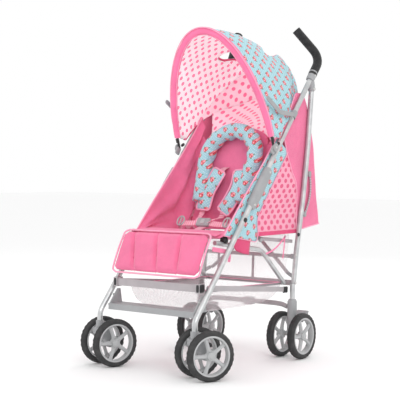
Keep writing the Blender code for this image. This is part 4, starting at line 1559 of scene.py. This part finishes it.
def side_fittings(side, sign):
    """Grey housing on the front tube and its clip, and the seat's flap and knob."""
    out = (sign, 0, 0)
    low, high = tube_at(sign, 0.480, 0.0, HOUSING_BACK), tube_at(sign, 0.602, 0.0, HOUSING_BACK)
    lump(f"tube_housing_{side}", low, high, 0.032, 0.024, out, GREY, "frame", 0.45, 0.14)
    low, high = tube_at(sign, 0.452, 0.006), tube_at(sign, 0.441, 0.006)
    lump(f"tube_clip_{side}", low, high, 0.012, 0.012, out, BLACK, "frame")

    def flap(u, v):
        at = FLAP_LOW[round(12 * u)].lerp(FLAP_HIGH[round(12 * u)], v)
        swell = 0.0024 * math.sin(math.pi * v) * math.sin(math.pi * u)
        return Vector((sign * (0.1690 + swell), at.y, at.z))

    cloth = panel(f"seat_flap_{side}", 7, 13, flap, DEEP_PINK, "frame", 0.0016)
    cloth_sheet(cloth)
    turned(f"side_knob_{side}", KNOB, mirrored(sign, (0.1600, 0.338, 0.382)), out, GREY, "frame")


def carry_strap():
    """The webbing behind the left rear leg, clipped at both ends."""
    high, low = Vector((0.176, 0.600, 0.585)), Vector((0.176, 0.572, 0.455))
    line = []
    for t in np.linspace(0, 1, 17):
        line.append(high.lerp(low, t) + Vector((0.002, 0.016 * math.sin(math.pi * t), 0)))
    strap("carry_strap", line, 0.012, STRAP_GREY, "rear_frame", (1, 0.2, 0), 0.002)
    for name, at in (("high", high), ("low", low)):
        top, foot = at + Vector((0, -0.002, 0.010)), at - Vector((0, 0, 0.008))
        lump(f"carry_clip_{name}", top, foot, 0.014, 0.009, OUT, GREY, "rear_frame")


def hood_hinge(side, sign):
    """The hood's pivot cap with its saddle, and the sockets that hold the bows."""
    out = (sign, 0, 0)
    pivot = Vector((sign * 0.1905, *HOOD_PIVOT.yz))
    cap = turned(f"hood_pivot_look_{side}", PIVOT_CAP, pivot, out, GREY, "frame")
    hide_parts(f"hood_pivot_{side}")
    rivet(f"hood_pivot_rivet_{side}", pivot + Vector((sign * 0.0058, 0, 0)), out, "frame", 0.0042)
    inside = pivot - Vector((sign * 0.003, 0, 0))
    low, high = inside - Vector((0, 0.012, 0.020)), inside + Vector((0, 0.001, 0.003))
    lump(f"hood_pivot_saddle_{side}", low, high, 0.020, 0.007, out, GREY, "frame", 0.45)
    root = pivot - Vector((sign * 0.002, 0, 0))
    for k, (y, z, body) in enumerate(((-0.012, 0.032, "hood_front"), (0.0275, 0.0150, "frame"))):
        reach = Vector((0, y, z))
        start, end = root + reach * 0.5, root + reach
        lump(f"hood_socket_{side}_{k}", start, end, 0.009, 0.0070, out, BLACK, body, 0.4)


def handle_joint(side, sign):
    """The collar under the grip, and the yoke from it to the pin that the rear leg turns on."""
    out = (sign, 0, 0)
    run = (tube_at(sign, 0.95) - tube_at(sign, 0.85)).normalized()
    collar = tube_at(sign, 0.902)
    ring = turned(f"handle_collar_{side}", COLLAR_RING, collar, run, GREY, "frame")
    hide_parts(f"handle_bracket_{side}")
    pin = Vector((sign * TUBE_X, 0.598, 0.862))
    high, low = collar - run * 0.010, pin + Vector((0, 0.001, -0.011))
    lump(f"handle_yoke_{side}", high, low, 0.024, 0.0235, out, GREY, "frame", 0.45)
    rivet(f"handle_bolt_{side}_62", pin + Vector((sign * 0.0116, 0, 0)), out, "frame", 0.0062)
    bolt = collar + run * 0.004 + Vector((sign * 0.0134, 0, 0))
    rivet(f"handle_bolt_{side}_40", bolt, out, "frame", 0.0040)


def rear_leg_end(side, sign):
    """The slim housing that the rear wheels' axle goes through, and the leg's tube that runs into it."""
    low, high = (sign * TUBE_X, 0.4945, 0.058), (sign * TUBE_X, 0.4965, 0.190)
    out = (sign, 0, 0)
    housing = lump(f"rear_housing_look_{side}", high, low, 0.033, 0.026, out, GREY, "rear_frame", 0.45)
    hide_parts(f"rear_housing_{side}")
    line = [(sign * TUBE_X, 0.4965, 0.236), (sign * TUBE_X, 0.4965, 0.180)]
    tube(f"rear_leg_foot_{side}", line, TUBE_R, SILVER, "rear_frame", 20)


harness()
hood_curtain()
basket()
for _side, _sign in SIDES:
    listed_fittings(_side, _sign)
    side_fittings(_side, _sign)
    hood_hinge(_side, _sign)
    handle_joint(_side, _sign)
    rear_leg_end(_side, _sign)
carry_strap()
